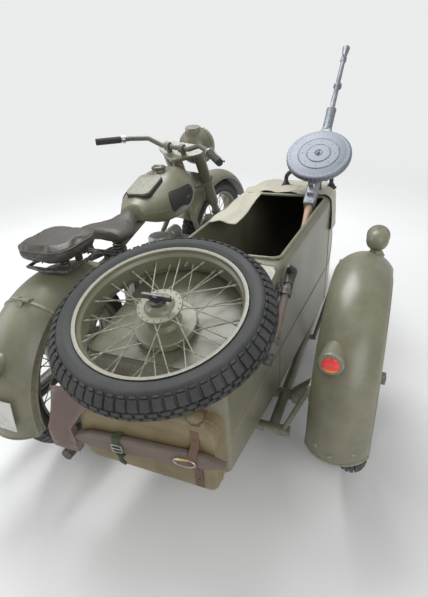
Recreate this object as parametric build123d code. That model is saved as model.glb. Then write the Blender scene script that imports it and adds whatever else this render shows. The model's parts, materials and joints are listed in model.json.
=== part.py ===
from build123d import *
import math
import os

# Sidecar outfit: X right, Y forward, Z up, millimetres.
# While the pieces are built, the rear axle stands over the origin and the ground is z = 0.
# At the end everything is shifted so that the origin is the bottom centre of the whole machine.

# Driving dimensions of the outfit
WHEELBASE = 1430.0
TRACK = 1080.0
SIDECAR_LEAD = 230.0
RAKE = 27.5
TRAIL = 76.0
STEER_REST = -10.0

# Wheels and tyres
TYRE_RADIUS = 335.0
TYRE_SECTION = 50.0
RIM_SEAT = 247.7
RIM_DEPTH = 12.0
RIM_HALF_WIDTH = 46.0
RIM_FLANGE = 8.0
RIM_FLANGE_WALL = 3.5
TYRE_TO_RIM = 0.3
HUB_HALF_LENGTH = 55.0
HUB_BARREL = 44.0
DRUM_RADIUS = 96.0
DRUM_WALL = 26.0
HUB_FLANGE_RADIUS = 68.0
HUB_FLANGE_WALL = 8.0
AXLE_RADIUS = 10.0
AXLE_RUNNING = 0.05
SPOKES_A_SIDE = 18
SPOKE_RADIUS = 2.2
SPOKE_LEAN = 34.0

# General clearances and sheet thicknesses
TOUCH = 0.3
SHEET = 2.0
MOVING_GAP = 6.0

# Fenders: half width, rim radius, shoulder radius, crown radius, centre offsets from the wheel, sweep
REAR_FENDER = dict(half=105.0, rim=325.0, shoulder=352.0, crown=395.0, dx=0.0, dy=0.0, start=34.0, end=114.0)
REAR_TAIL = dict(half=105.0, rim=325.0, shoulder=352.0, crown=395.0, dx=0.0, dy=0.0, start=114.6, end=186.0)
FRONT_FENDER = dict(half=66.0, rim=346.0, shoulder=360.0, crown=388.0, dx=0.0, dy=0.0, start=20.0, end=150.0)
SIDE_FENDER = dict(half=92.0, rim=343.0, shoulder=372.0, crown=425.0, dx=-44.0, dy=30.0,
                   start=14.0, end=184.0)
TAIL_HINGE_OUT = 7.0
KNUCKLE_RADIUS = 6.0
PIN_RADIUS = 2.5
KNUCKLE_HALF = 12.0
KNUCKLE_GAP = 1.0
KNUCKLE_ROOM = 1.5

# Motorcycle frame
FRAME_TUBE = 15.0
FRAME_HALF = 118.0
FRAME_BOTTOM = 205.0
BACKBONE_Z = 640.0
HEAD_LENGTH = 170.0
HEAD_RADIUS = 27.0
STEM_RADIUS = 18.0
HEAD_Z = 800.0
DOWNTUBE_Y = 1012.0
STAY_X = 122.0
SEAT_Y = 330.0
AXLE_LUG = 17.0
SLEEVE_LOW = 284.0

# Engine and gearbox
ENGINE_Y = 850.0
ENGINE_Z = 335.0
CRANKCASE = (200.0, 270.0, 300.0)
GEARBOX = (180.0, 210.0, 230.0)
CYLINDER_TIP = 365.0
CYLINDER_BARREL = 58.0
FIN_RADIUS = 78.0
FIN_COUNT = 7
FIN_WALL = 4.0

# Exhaust
SILENCER_X = 172.0
SILENCER_RADIUS = 37.0

# Fuel tank: rows of y, half width, bottom z, top z
TANK_ROWS = ((560.0, 62.0, 712.0, 790.0), (680.0, 128.0, 668.0, 826.0),
             (860.0, 152.0, 660.0, 868.0), (1000.0, 118.0, 672.0, 852.0),
             (1060.0, 66.0, 702.0, 806.0))
CAP_Y = 850.0
CAP_RADIUS = 34.0
LID_REAR = 612.0
LID_LENGTH = 175.0
LID_WIDTH = 118.0
LID_WALL = 9.0
LID_LIFT = 7.0
SEAL_BORDER = 4.0
LID_CORNER = 30.0
LID_KNUCKLE = 8.0

# Handlebar
BAR_RADIUS = 12.0
GRIP_RADIUS = 17.0
GRIP_LENGTH = 128.0
BAR_AHEAD = 20.0
BAR_UP = 145.0
BAR_RISE = 30.0
HAND_X = 372.0
HAND_BACK = 182.0
LEVER_RADIUS = 5.0

# Fork
LEG_X = 102.0
LEG_OFFSET = 62.0
LEG_COVER = 29.0
LEG_STANCHION = 21.0
LEG_SLIDER = 27.0
YOKE_WALL = 20.0
FENDER_HOLD_Z = 605.0
YOKE_GAP = 6.0
YOKE_LEG = 38.0
YOKE_STEM = 36.0
BACKBONE_REAR = 312.0

# Sidecar body: rows of y, centre x, half width, bottom z, top z, corner radius
TUB_ROWS = ((-255.0, 524.0, 226.0, 245.0, 622.0, 26.0), (200.0, 570.0, 214.0, 205.0, 746.0, 30.0),
            (900.0, 622.0, 212.0, 190.0, 760.0, 34.0), (1250.0, 622.0, 186.0, 212.0, 722.0, 60.0),
            (1520.0, 618.0, 140.0, 262.0, 648.0, 90.0), (1690.0, 612.0, 66.0, 350.0, 548.0, 60.0))
TUB_WALL = 3.0
BULKHEAD_Y = 208.0
COCKPIT_FRONT = 905.0
TRUNK_RIM = 22.0
COCKPIT_RIM = 18.0
LID_SHEET = 3.0
LID_X = 556.0
LID_INSET = 7.0
LID_LONG = 446.0
LID_ROUND = 24.0
HINGE_UP = 8.0
HINGE_AHEAD = 226.0
HINGE_OFFSETS = (-130.0, 130.0)

# Spare wheel on the trunk lid
SPARE_X = 520.0
SPARE_Y = -125.0
SPARE_LIFT = 57.0

# Sidecar seat
SEAT_X = 590.0
SEAT_BACK = (340.0, 64.0, 320.0)
SEAT_TILT = 8.0
SEAT_ROUND = 20.0

# Hand rail
RAIL_LEFT = 590.0
RAIL_SPAN = 220.0
RAIL_Y = 1066.0
RAIL_HEIGHT = 82.0
RAIL_TUBE = 10.0

# Sidecar frame
SIDE_TUBE = 19.0
SIDE_LEFT = 380.0
SIDE_RIGHT = 800.0
SIDE_Z = 168.0

# Flat can, straps and tools on the rear wall
CAN_SIZE = (460.0, 74.0, 250.0)
CAN_CENTRE_X = 508.0
CAN_BOTTOM = 248.0
STRAP_WALL = 3.0
STRAP_WIDTH = 26.0
CAN_STRAP_X = 680.0
HANDLE_STRAP_X = 430.0
HANDLE_LENGTH = 510.0
HANDLE_DEPTH = 26.0
HANDLE_LEFT_HALF = 35.0
HANDLE_RIGHT_HALF = 25.0
HANDLE_X = 519.0
HANDLE_UP = 126.0
HANDLE_TILT = 6.5
HEAD_DEPTH = 30.0
# Axe head outline from the handle's left end: along the handle, square to it
HEAD_OUTLINE = ((-105.0, -50.0), (-0.3, -58.0), (-0.3, 40.0), (18.0, 62.0), (140.0, 178.0),
                (60.0, 198.0), (-22.0, 200.0), (-66.0, 60.0), (-100.0, 30.0))

# Hand tool on the body's right side
TOOL_X = 812.0
TOOL_RADIUS = 15.0

# Swivel gun
GUN_X = 760.0
GUN_Y = 990.0
GUN_PIVOT_Z = 885.0
GUN_ELEVATION = 33.0
POST_RADIUS = 16.0
FOOT_RADIUS = 44.0
APRON_WALL = 20.0
APRON_REAR = 906.0
APRON_FRONT = 1240.0
APRON_SIDE = 12.0
APRON_DROP = 150.0
APRON_ROUND = 30.0
FLAP_REAR = 500.0
FLAP_X = 520.0
CRADLE_HALF = 27.0
CRADLE_WALL = 7.0
TRUNNION_RADIUS = 8.0
RECEIVER_HALF = 24.0
PAN_RADIUS = 142.0
PAN_HEIGHT = 34.0
BARREL_RADIUS = 13.0
MUZZLE_REACH = 790.0
BUTT_REACH = 500.0

# Lamps
LAMP_AHEAD = 162.0
LAMP_UP = 105.0
TAIL_LAMP_RADIUS = 34.0
SIDE_LAMP_ANGLE = 139.0
SIDE_LAMP_OFFSET = -38.0
MARKER_ANGLE = 66.0
MARKER_OFFSET = 28.0
MARKER_LIFT = 44.0
MARKER_RADIUS = 40.0
MARKER_LENGTH = 46.0
MARKER_FOOT = 14.0
REAR_LAMP_ANGLE = 146.0
PLATE_SIZE = (150.0, 3.0, 110.0)


def direction(angle_deg):
    """Unit vector in the YZ plane, 0 degrees forward and 90 degrees up."""
    angle = math.radians(angle_deg)
    return Vector(0, math.cos(angle), math.sin(angle))


def rod(start, end, radius):
    """Round bar between two points."""
    first = Vector(*start)
    span = Vector(*end) - first
    plane = Plane(origin=first, z_dir=span.normalized())
    return plane * Cylinder(radius, span.length, align=(Align.CENTER, Align.CENTER, Align.MIN))


def bent_tube(points, radius, bend):
    """Round tube along straight runs joined by arcs of one radius."""
    path = FilletPolyline(*points, radius=bend)
    section = Plane(origin=path @ 0, z_dir=path % 0) * Circle(radius)
    return sweep(section, path=path)


def block(size, centre):
    """Box by its size and centre."""
    return Pos(*centre) * Box(*size)


def x_disc(radius, x_low, x_high, y, z):
    """Disc or shaft whose axis lies along X."""
    return rod((x_low, y, z), (x_high, y, z), radius)


def moving_knuckle(point, middle, half):
    """Centre knuckle of a hinge with its pin."""
    knuckle = x_disc(KNUCKLE_RADIUS, middle - half, middle + half, point.Y, point.Z)
    return knuckle + x_disc(PIN_RADIUS, middle - 3 * half, middle + 3 * half, point.Y, point.Z)


def fixed_knuckles(point, middle, half, base_y, base_z):
    """Two outer knuckles of a hinge, each on a foot that runs from the pin to the base point."""
    shape = None
    for side in (-1, 1):
        near = middle + side * (half + KNUCKLE_GAP)
        far = middle + side * 3 * half
        knuckle = x_disc(KNUCKLE_RADIUS, min(near, far), max(near, far), point.Y, point.Z)
        span = Vector(0, base_y - point.Y, base_z - point.Z)
        middle_point = Vector(0.5 * (near + far), point.Y, point.Z)
        plane = Plane(origin=middle_point, x_dir=(1, 0, 0), z_dir=span.normalized())
        foot = plane * Box(abs(far - near), KNUCKLE_RADIUS * 2, span.length,
                           align=(Align.CENTER, Align.CENTER, Align.MIN))
        shape = knuckle + foot if shape is None else shape + knuckle + foot
    return shape - x_disc(PIN_RADIUS + AXLE_RUNNING, middle - 4 * half, middle + 4 * half, point.Y, point.Z)


def slab(rows_outline, height):
    """Prism from an outline in the XY plane."""
    return extrude(make_face(Polyline(*rows_outline, close=True)), height)


def steering_axis_y(z):
    return WHEELBASE + TRAIL - math.tan(math.radians(RAKE)) * z


def steering_plane(z):
    """Plane on the steering axis: its z runs up the axis, its y forward."""
    return Plane(origin=(0, steering_axis_y(z), z), x_dir=(1, 0, 0), z_dir=direction(90 + RAKE))


def turned(shape):
    """Puts a piece of the steered front end at its parked steering angle."""
    plane = steering_plane(0)
    axis = Axis(plane.origin, plane.z_dir)
    return shape.rotate(axis, STEER_REST)


def wheel_solid():
    """Rim, hub and spokes as one laced wheel, its axle along X, centred at the origin."""
    seat = RIM_SEAT
    inner = seat - RIM_DEPTH
    lip = seat + RIM_FLANGE
    edge = RIM_HALF_WIDTH
    wall = edge - RIM_FLANGE_WALL
    profile = make_face(Polyline((-edge, inner), (edge, inner), (edge, lip), (wall, lip), (wall, seat),
                                 (-wall, seat), (-wall, lip), (-edge, lip), close=True))
    wheel = revolve(profile, Axis.X)
    hub = x_disc(HUB_BARREL, -HUB_HALF_LENGTH, HUB_HALF_LENGTH, 0, 0)
    hub += x_disc(DRUM_RADIUS, -HUB_HALF_LENGTH, -HUB_HALF_LENGTH + DRUM_WALL, 0, 0)
    flange_x = HUB_HALF_LENGTH - 14.0
    hub += x_disc(HUB_FLANGE_RADIUS, flange_x - HUB_FLANGE_WALL, flange_x, 0, 0)
    hub -= x_disc(AXLE_RADIUS + AXLE_RUNNING, -HUB_HALF_LENGTH - 1, HUB_HALF_LENGTH + 1, 0, 0)
    spokes = []
    # Side rows: hub x, hub radius, rim x
    sides = ((-HUB_HALF_LENGTH + DRUM_WALL - 6.0, DRUM_RADIUS - 8.0, -10.0),
             (flange_x - 0.5 * HUB_FLANGE_WALL, HUB_FLANGE_RADIUS - 8.0, 10.0))
    for hub_x, hub_r, rim_x in sides:
        for index in range(SPOKES_A_SIDE):
            angle = 360.0 * index / SPOKES_A_SIDE + (0 if rim_x < 0 else 180.0 / SPOKES_A_SIDE)
            lean = SPOKE_LEAN if index % 2 else -SPOKE_LEAN
            foot = direction(angle) * hub_r + Vector(hub_x, 0, 0)
            head = direction(angle + lean * 0.6) * (inner + 3.0) + Vector(rim_x, 0, 0)
            spokes.append(rod(foot, head, SPOKE_RADIUS))
    return wheel + hub + spokes


def tyre_solid():
    """Tyre on its rim, centred at the origin."""
    ring = TYRE_RADIUS - TYRE_SECTION
    seat = RIM_SEAT + TYRE_TO_RIM
    half = math.sqrt(TYRE_SECTION ** 2 - (ring - seat) ** 2)
    line = Line((-half, seat), (half, seat))
    arc = ThreePointArc((half, seat), (0, TYRE_RADIUS), (-half, seat))
    return revolve(make_face([line, arc]), Axis.X)


def fender_shell(spec, x, y, z):
    """Arched sheet fender around a wheel at x, y, z."""
    half = spec["half"]
    in_half = half - SHEET
    outer = [Line((-half, spec["rim"]), (-half, spec["shoulder"])),
             ThreePointArc((-half, spec["shoulder"]), (0, spec["crown"]), (half, spec["shoulder"])),
             Line((half, spec["shoulder"]), (half, spec["rim"])),
             Line((half, spec["rim"]), (in_half, spec["rim"])),
             Line((in_half, spec["rim"]), (in_half, spec["shoulder"])),
             ThreePointArc((in_half, spec["shoulder"]), (0, spec["crown"] - SHEET),
                           (-in_half, spec["shoulder"])),
             Line((-in_half, spec["shoulder"]), (-in_half, spec["rim"])),
             Line((-in_half, spec["rim"]), (-half, spec["rim"]))]
    arch = revolve(make_face(outer), Axis.X, spec["end"] - spec["start"])
    arch = Rot(spec["start"], 0, 0) * arch
    return Pos(x + spec["dx"], y + spec["dy"], z) * arch


def tank_section(y, half, low, high):
    """One cross section of the fuel tank: flat bottom, round flanks and crown."""
    height = high - low
    bottom = 0.62 * half
    shoulder_x = 0.66 * half
    shoulder_z = low + 0.84 * height
    edges = [Line((-bottom, low), (bottom, low)),
             ThreePointArc((bottom, low), (half, low + 0.42 * height), (shoulder_x, shoulder_z)),
             ThreePointArc((shoulder_x, shoulder_z), (0, high), (-shoulder_x, shoulder_z)),
             ThreePointArc((-shoulder_x, shoulder_z), (-half, low + 0.42 * height), (-bottom, low))]
    plane = Plane(origin=(0, y, 0), x_dir=(1, 0, 0), z_dir=(0, -1, 0))
    return plane * make_face(edges)


def tank_top(y):
    """Height of the tank's ridge at y, by straight runs between its rows."""
    for first, second in zip(TANK_ROWS, TANK_ROWS[1:]):
        if first[0] <= y <= second[0]:
            share = (y - first[0]) / (second[0] - first[0])
            return first[3] + share * (second[3] - first[3])
    return TANK_ROWS[0][3]


def fuel_tank():
    tank = loft([tank_section(*row) for row in TANK_ROWS], ruled=True)
    cap_z = tank_top(CAP_Y)
    front, rear = backbone_ends()
    run = (front - rear).normalized()
    radius = FRAME_TUBE + 3 + TOUCH
    tunnel = rod(rear, front + run * 60, radius)
    tunnel += Pos(0, 0, -120) * extrude(Plane.YZ.offset(-radius) * make_face(Polyline(
        (rear.Y, rear.Z), (front.Y + 60, front.Z + 60 * run.Z / run.Y),
        (front.Y + 60, front.Z + 120 + 60 * run.Z / run.Y), (rear.Y, rear.Z + 120), close=True)), 2 * radius)
    neck = rod((0, CAP_Y, cap_z - 12), (0, CAP_Y, cap_z + 8), CAP_RADIUS - 6)
    cap = rod((0, CAP_Y, cap_z + 8), (0, CAP_Y, cap_z + 24), CAP_RADIUS)
    head = steering_plane(HEAD_Z) * Cylinder(HEAD_RADIUS + TOUCH, HEAD_LENGTH)
    hinge = lid_hinge()
    plane = lid_plane()
    foot = hinge - plane.z_dir * (LID_LIFT + 17)
    lugs = fixed_knuckles(hinge, 0, LID_KNUCKLE, foot.Y, foot.Z)
    lid_room = plane * Pos(0, 0, LID_LIFT - 3) * extrude(
        RectangleRounded(LID_WIDTH + 2, LID_LENGTH + 2, LID_CORNER), LID_WALL + 6)
    return tank + neck + cap + (lugs - lid_room) - tunnel - head


def lid_plane():
    """Plane of the toolbox lid on the tank's rear slope."""
    rear = Vector(0, LID_REAR, tank_top(LID_REAR))
    front = Vector(0, LID_REAR + LID_LENGTH, tank_top(LID_REAR + LID_LENGTH))
    along = (front - rear).normalized()
    normal = Vector(1, 0, 0).cross(along)
    middle = (rear + front) * 0.5
    return Plane(origin=middle, x_dir=(1, 0, 0), z_dir=normal)


def lid_hinge():
    """Point on the toolbox lid's hinge line, at its front edge."""
    plane = lid_plane()
    return plane.origin + plane.y_dir * (0.5 * LID_LENGTH + 5) + plane.z_dir * (LID_LIFT + 8)


def toolbox_lid():
    """Lid with its hinge knuckle and pin."""
    outline = RectangleRounded(LID_WIDTH, LID_LENGTH, LID_CORNER)
    lid = lid_plane() * Pos(0, 0, LID_LIFT) * extrude(outline, LID_WALL)
    hinge = lid_hinge()
    for side in (-1, 1):
        near = side * (LID_KNUCKLE + 0.5 * KNUCKLE_GAP)
        far = side * (3 * LID_KNUCKLE + KNUCKLE_GAP)
        lid -= x_disc(KNUCKLE_RADIUS + KNUCKLE_ROOM, min(near, far), max(near, far), hinge.Y, hinge.Z)
    return lid + moving_knuckle(hinge, 0, LID_KNUCKLE)


def toolbox_seal(tank):
    """Rubber edge that the lid rests on, fitted to the tank's top."""
    border = 2 * SEAL_BORDER
    outline = RectangleRounded(LID_WIDTH + border, LID_LENGTH + border, LID_CORNER + SEAL_BORDER)
    ring = lid_plane() * Pos(0, 0, LID_LIFT - TOUCH) * extrude(outline, -34)
    return ring - tank


def rounded_box(size, radius, centre):
    """Box with its corners rounded in the XZ plane."""
    outline = Plane.XZ * RectangleRounded(size[0], size[2], radius)
    return Pos(centre[0], centre[1] + size[1] / 2, centre[2]) * extrude(outline, size[1])


def head_point(x, ahead, along):
    """World point from its place ahead of the steering axis and along it from the head's middle."""
    plane = steering_plane(HEAD_Z)
    return plane.origin + Vector(x, 0, 0) + plane.y_dir * ahead + plane.z_dir * along


def backbone_ends():
    return head_point(0, -HEAD_RADIUS + 6, -10), Vector(0, BACKBONE_REAR, BACKBONE_Z - 18)


def frame_upper(cradle):
    """Head lug, backbone, down tubes, seat posts and rear stays."""
    shape = steering_plane(HEAD_Z) * Cylinder(HEAD_RADIUS, HEAD_LENGTH)
    front, rear = backbone_ends()
    shape += rod(front, rear, FRAME_TUBE + 3)
    for side in (-1, 1):
        x = side * FRAME_HALF
        shape += bent_tube([(side * 16, 430, 635), (side * STAY_X, 262, 612), (side * STAY_X, 60, 560),
                            (side * FRAME_HALF, 0, 512)], FRAME_TUBE - 3, 36)
        low = head_point(side * 8, -HEAD_RADIUS + 8, -38)
        shape += bent_tube([low, (side * 60, DOWNTUBE_Y + 38, 600), (x, DOWNTUBE_Y, 470),
                            (x, DOWNTUBE_Y, FRAME_BOTTOM + 74)], FRAME_TUBE - 1, 40)
        shape += bent_tube([(side * 8, SEAT_Y, 620), (x, SEAT_Y, 544), (x, SEAT_Y, FRAME_BOTTOM)],
                           FRAME_TUBE - 2, 40)
    bore = steering_plane(HEAD_Z) * Cylinder(STEM_RADIUS + AXLE_RUNNING, HEAD_LENGTH + 1)
    return shape - bore - cradle


def frame_cradle():
    """Lower rails under the engine, run back to the axle lugs."""
    shape = None
    for side in (-1, 1):
        x = side * FRAME_HALF
        rail = bent_tube([(x, DOWNTUBE_Y, FRAME_BOTTOM + 74), (x, DOWNTUBE_Y - 8, FRAME_BOTTOM),
                          (x, SEAT_Y, FRAME_BOTTOM), (x, 60, 255), (x, 0, 258)], FRAME_TUBE, 22)
        shape = rail if shape is None else shape + rail
        shape += rod((x, 0, 245), (x, 0, 516), AXLE_LUG)
    for y in (DOWNTUBE_Y - 20, 560, SEAT_Y):
        shape += rod((-FRAME_HALF, y, FRAME_BOTTOM), (FRAME_HALF, y, FRAME_BOTTOM), FRAME_TUBE - 3)
    return shape - x_disc(AXLE_RADIUS + AXLE_RUNNING, -200, 200, 0, TYRE_RADIUS)


def engine_block():
    """Crankcase, front cover and gearbox as one heavy block."""
    case = block(CRANKCASE, (0, ENGINE_Y, ENGINE_Z + 8))
    case = fillet(case.edges().filter_by(Axis.X), 40)
    gearbox = block(GEARBOX, (0, ENGINE_Y - 236, ENGINE_Z + 20))
    gearbox = fillet(gearbox.edges().filter_by(Axis.Y), 30)
    cover = rod((0, ENGINE_Y + 130, ENGINE_Z + 40), (0, ENGINE_Y + 165, ENGINE_Z + 40), 78)
    sump = block((150, 220, 40), (0, ENGINE_Y, ENGINE_Z - 150))
    return case + gearbox + cover + sump


def cylinders():
    """Two finned barrels with their heads, one a side."""
    shapes = []
    for side in (-1, 1):
        y = ENGINE_Y + side * 18
        inner = CRANKCASE[0] / 2
        barrel = rod((side * inner, y, ENGINE_Z), (side * (CYLINDER_TIP - 60), y, ENGINE_Z), CYLINDER_BARREL)
        head = rod((side * (CYLINDER_TIP - 70), y, ENGINE_Z), (side * (CYLINDER_TIP - 12), y, ENGINE_Z), 80)
        tip = rod((side * (CYLINDER_TIP - 12), y, ENGINE_Z), (side * CYLINDER_TIP, y, ENGINE_Z), 62)
        body = barrel + head + tip
        step = (CYLINDER_TIP - 84 - inner) / FIN_COUNT
        for index in range(FIN_COUNT):
            x = inner + 12 + index * step
            body += rod((side * x, y, ENGINE_Z), (side * (x + FIN_WALL), y, ENGINE_Z), FIN_RADIUS)
        shapes.append(body)
    return shapes[0] + shapes[1]


def carburettors():
    """A carburettor behind each cylinder, with its air pipe to the gearbox top."""
    shapes = []
    for side in (-1, 1):
        y = ENGINE_Y + side * 18 - 112
        body = rod((side * 215, y + 36, ENGINE_Z + 42), (side * 215, y - 44, ENGINE_Z + 42), 24)
        body += rod((side * 215, y - 6, ENGINE_Z - 22), (side * 215, y - 6, ENGINE_Z + 98), 20)
        reach = GEARBOX[0] / 2 + 11
        inlet = rod((side * 215, y - 38, ENGINE_Z + 42), (side * reach, y - 110, ENGINE_Z + 72), 18)
        shapes.append(body + inlet)
    return shapes[0] + shapes[1]


def exhaust_system(barrels, cradle):
    """Two header pipes and two long silencers with flattened tails."""
    shapes = []
    for side in (-1, 1):
        y = ENGINE_Y + side * 18 + 24
        x = side * 312
        low = side * SILENCER_X
        pipe = bent_tube([(x, y, ENGINE_Z - 56), (x, y, 178), (side * 196, y - 190, 164),
                          (low, 420, 176)], 18, 40)
        can = rod((low, 430, 176), (low, -200, 196), SILENCER_RADIUS)
        tail = rod((low, -190, 196), (low, -330, 200), 20)
        for hang_y, hang_z in ((360, FRAME_BOTTOM), (4, 258)):
            pipe += rod((low, hang_y, 182), (side * FRAME_HALF, hang_y, hang_z), 8)
        shapes.append(pipe + can + tail - barrels - cradle)
    return shapes[0] + shapes[1]


def final_drive():
    """Bevel housing beside the rear wheel and the shaft tube from the gearbox."""
    inner = HUB_HALF_LENGTH + MOVING_GAP
    outer = FRAME_HALF - 30 - TOUCH
    x = 80
    gearbox_rear = ENGINE_Y - 236 - GEARBOX[1] / 2
    housing = x_disc(84, inner, outer, 0, TYRE_RADIUS)
    housing += rod((x, 60, TYRE_RADIUS), (x, 130, TYRE_RADIUS), 19)
    housing += rod((x, 130, TYRE_RADIUS), (x, gearbox_rear - TOUCH, TYRE_RADIUS), 14)
    return housing - x_disc(AXLE_RADIUS + AXLE_RUNNING, 0, 200, 0, TYRE_RADIUS)


def rear_suspension():
    """Plunger sleeves on the rear axle lugs."""
    shapes = None
    for side in (-1, 1):
        x = side * FRAME_HALF
        sleeve = rod((x, 0, SLEEVE_LOW), (x, 0, 490), 30) - rod((x, 0, 200), (x, 0, 600), AXLE_LUG + TOUCH)
        sleeve -= x_disc(AXLE_RADIUS + AXLE_RUNNING, -200, 200, 0, TYRE_RADIUS)
        shapes = sleeve if shapes is None else shapes + sleeve
    return shapes


def rear_axle():
    reach = FRAME_HALF + 42
    axle = x_disc(AXLE_RADIUS, -reach, reach, 0, TYRE_RADIUS)
    nuts = x_disc(17, reach - 10, reach, 0, TYRE_RADIUS) + x_disc(17, -reach, -reach + 10, 0, TYRE_RADIUS)
    return axle + nuts


def rider_saddle():
    """Sprung pan saddle with its nose forward."""
    outline = slab([(-122, 262), (122, 262), (134, 350), (60, 520), (30, 542), (-30, 542), (-60, 520),
                    (-134, 350)], 62)
    outline = Pos(0, 0, 720) * outline
    outline = fillet(outline.edges().group_by(Axis.Z)[-1], 20)
    springs = rod((-78, 306, 666), (-78, 306, 720), 24) + rod((78, 306, 666), (78, 306, 720), 24)
    bridge = block((190, 30, 12), (0, 306, 666))
    front, rear = backbone_ends()
    post = rod((0, 318, 630), (0, 318, 666), 12) + rod((0, 520, 669), (0, 520, 722), 12)
    return outline + springs + bridge + post - rod(rear, front, FRAME_TUBE + 3 + TOUCH)


def pillion_saddle():
    """Second saddle on its frame over the rear fender."""
    seat = Pos(0, 60, 806) * Box(236, 250, 60)
    seat = fillet(seat.edges().filter_by(Axis.Z), 70)
    seat = fillet(seat.edges().group_by(Axis.Z)[-1], 20)
    feet = rod((-60, 10, 742), (-60, 10, 778), 14) + rod((60, 10, 742), (60, 10, 778), 14)
    frame = block((190, 210, 12), (0, 70, 742))
    for y in (-20, 150):
        feet += rod((0, y, 680), (0, y, 742), 16)
    return seat + frame + (feet - fender_core(REAR_FENDER, (0, 0, TYRE_RADIUS)))


def foot_rests():
    """Rider pegs on the lower rails."""
    shapes = None
    for side in (-1, 1):
        x = side * FRAME_HALF
        peg = rod((x, 470, FRAME_BOTTOM + 15), (x, 470, 262), 10)
        peg += rod((x - side * 8, 470, 262), (side * 250, 470, 262), 10)
        peg += rod((side * 170, 470, 262), (side * 250, 470, 262), 17)
        shapes = peg if shapes is None else shapes + peg
    return shapes


def knee_pads(tank):
    """Rubber pads on the tank's flanks."""
    shapes = None
    for side in (-1, 1):
        pad = Plane.YZ * Pos(800, 752) * RectangleRounded(210, 100, 46)
        pad = Pos(side * 120 - 32, 0, 0) * extrude(pad, 64)
        shell = loft([tank_section(row[0], row[1] + 9, row[2], row[3] + 4) for row in TANK_ROWS], ruled=True)
        pad = (pad & shell) - tank
        shapes = pad if shapes is None else shapes + pad
    return shapes


def axis_leg(x, low_z, high_z, radius):
    """Fork tube parallel to the steering axis, in front of it."""
    low = steering_plane(low_z)
    high = steering_plane(high_z)
    shift = Vector(x, 0, 0) + low.y_dir * LEG_OFFSET
    return rod(low.origin + shift, high.origin + shift, radius)


def yoke_outline():
    """Triangular plate round the two legs and the stem."""
    span = math.hypot(LEG_X, LEG_OFFSET)
    away_x = LEG_OFFSET / span
    away_y = -LEG_X / span
    low_leg = (LEG_X + YOKE_LEG * away_x, LEG_OFFSET + YOKE_LEG * away_y)
    low_stem = (YOKE_STEM * away_x, YOKE_STEM * away_y)
    top = LEG_OFFSET + YOKE_LEG
    plate = make_face(Polyline((-LEG_X, top), (LEG_X, top), low_leg, low_stem, (-low_stem[0], low_stem[1]),
                               (-low_leg[0], low_leg[1]), close=True))
    plate += Circle(YOKE_STEM)
    return plate + Pos(LEG_X, LEG_OFFSET) * Circle(YOKE_LEG) + Pos(-LEG_X, LEG_OFFSET) * Circle(YOKE_LEG)


def front_fork():
    """Yokes, stem, telescopic legs and axle clamps."""
    plane = steering_plane(HEAD_Z)
    stem = plane * Cylinder(STEM_RADIUS, HEAD_LENGTH + 2 * YOKE_GAP + 4)
    shape = stem
    for low in (HEAD_LENGTH / 2 + YOKE_GAP, -HEAD_LENGTH / 2 - YOKE_GAP - YOKE_WALL):
        shape += plane * Pos(0, 0, low) * extrude(yoke_outline(), YOKE_WALL)
    for side in (-1, 1):
        shape += axis_leg(side * LEG_X, 560, 895, LEG_COVER)
        shape += axis_leg(side * LEG_X, 470, 600, LEG_STANCHION)
        shape += axis_leg(side * LEG_X, 322, 500, LEG_SLIDER)
        low = steering_plane(335)
        lug = low.origin + low.y_dir * LEG_OFFSET
        shape += rod((side * LEG_X, lug.Y, 335), (side * LEG_X, WHEELBASE + 6, TYRE_RADIUS), 24)
    shape -= x_disc(AXLE_RADIUS, -300, 300, WHEELBASE, TYRE_RADIUS)
    return turned(shape)


def front_axle():
    reach = LEG_X + 34
    axle = x_disc(AXLE_RADIUS, -reach, reach, WHEELBASE, TYRE_RADIUS)
    axle += x_disc(16, reach - 10, reach, WHEELBASE, TYRE_RADIUS)
    axle += x_disc(16, -reach, -reach + 10, WHEELBASE, TYRE_RADIUS)
    return turned(axle)


def front_fender(fork):
    """Front fender with a bracket to each leg and two wire stays a side."""
    shape = fender_shell(FRONT_FENDER, 0, WHEELBASE, TYRE_RADIUS)
    half = FRONT_FENDER["half"]
    leg = steering_plane(FENDER_HOLD_Z)
    seat = leg.origin + leg.y_dir * LEG_OFFSET
    for side in (-1, 1):
        shape += block((12, 60, 50), (side * (half + 5), seat.Y, seat.Z))
    return turned(shape) - fork


def headlight():
    """Shell with its rim, lens, bracket ears and round speedometer."""
    centre = Vector(0, steering_axis_y(HEAD_Z) + LAMP_AHEAD, HEAD_Z + LAMP_UP)
    shell = Pos(centre) * Sphere(98) & block((220, 120, 220), (0, centre.Y - 60, centre.Z))
    rim = rod(centre, centre + Vector(0, 24, 0), 101)
    glass = rod(centre + Vector(0, 24, 0), centre + Vector(0, 32, 0), 86)
    dial = rod(centre + Vector(0, -34, 60), centre + Vector(0, -40, 106), 40)
    shape = shell + rim + glass + dial
    for side in (-1, 1):
        leg = Vector(*head_point(side * LEG_X, LEG_OFFSET, 60))
        shape += rod(centre + Vector(side * 70, -40, 0), leg, 10)
        shape -= axis_leg(side * LEG_X, 560, 995, LEG_COVER + TOUCH)
    return turned(shape)


def handlebar_route(side):
    """Right or left half of the bar: clamp, rise, sweep back, hand grip."""
    clamp = head_point(0, BAR_AHEAD, BAR_UP)
    y = clamp.Y
    z = clamp.Z
    return [(0, y, z), (side * 84, y, z), (side * 158, y - 16, z + BAR_RISE),
            (side * 236, y - 66, z + BAR_RISE - 2), (side * HAND_X, y - HAND_BACK, z + BAR_RISE - 14)]


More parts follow.
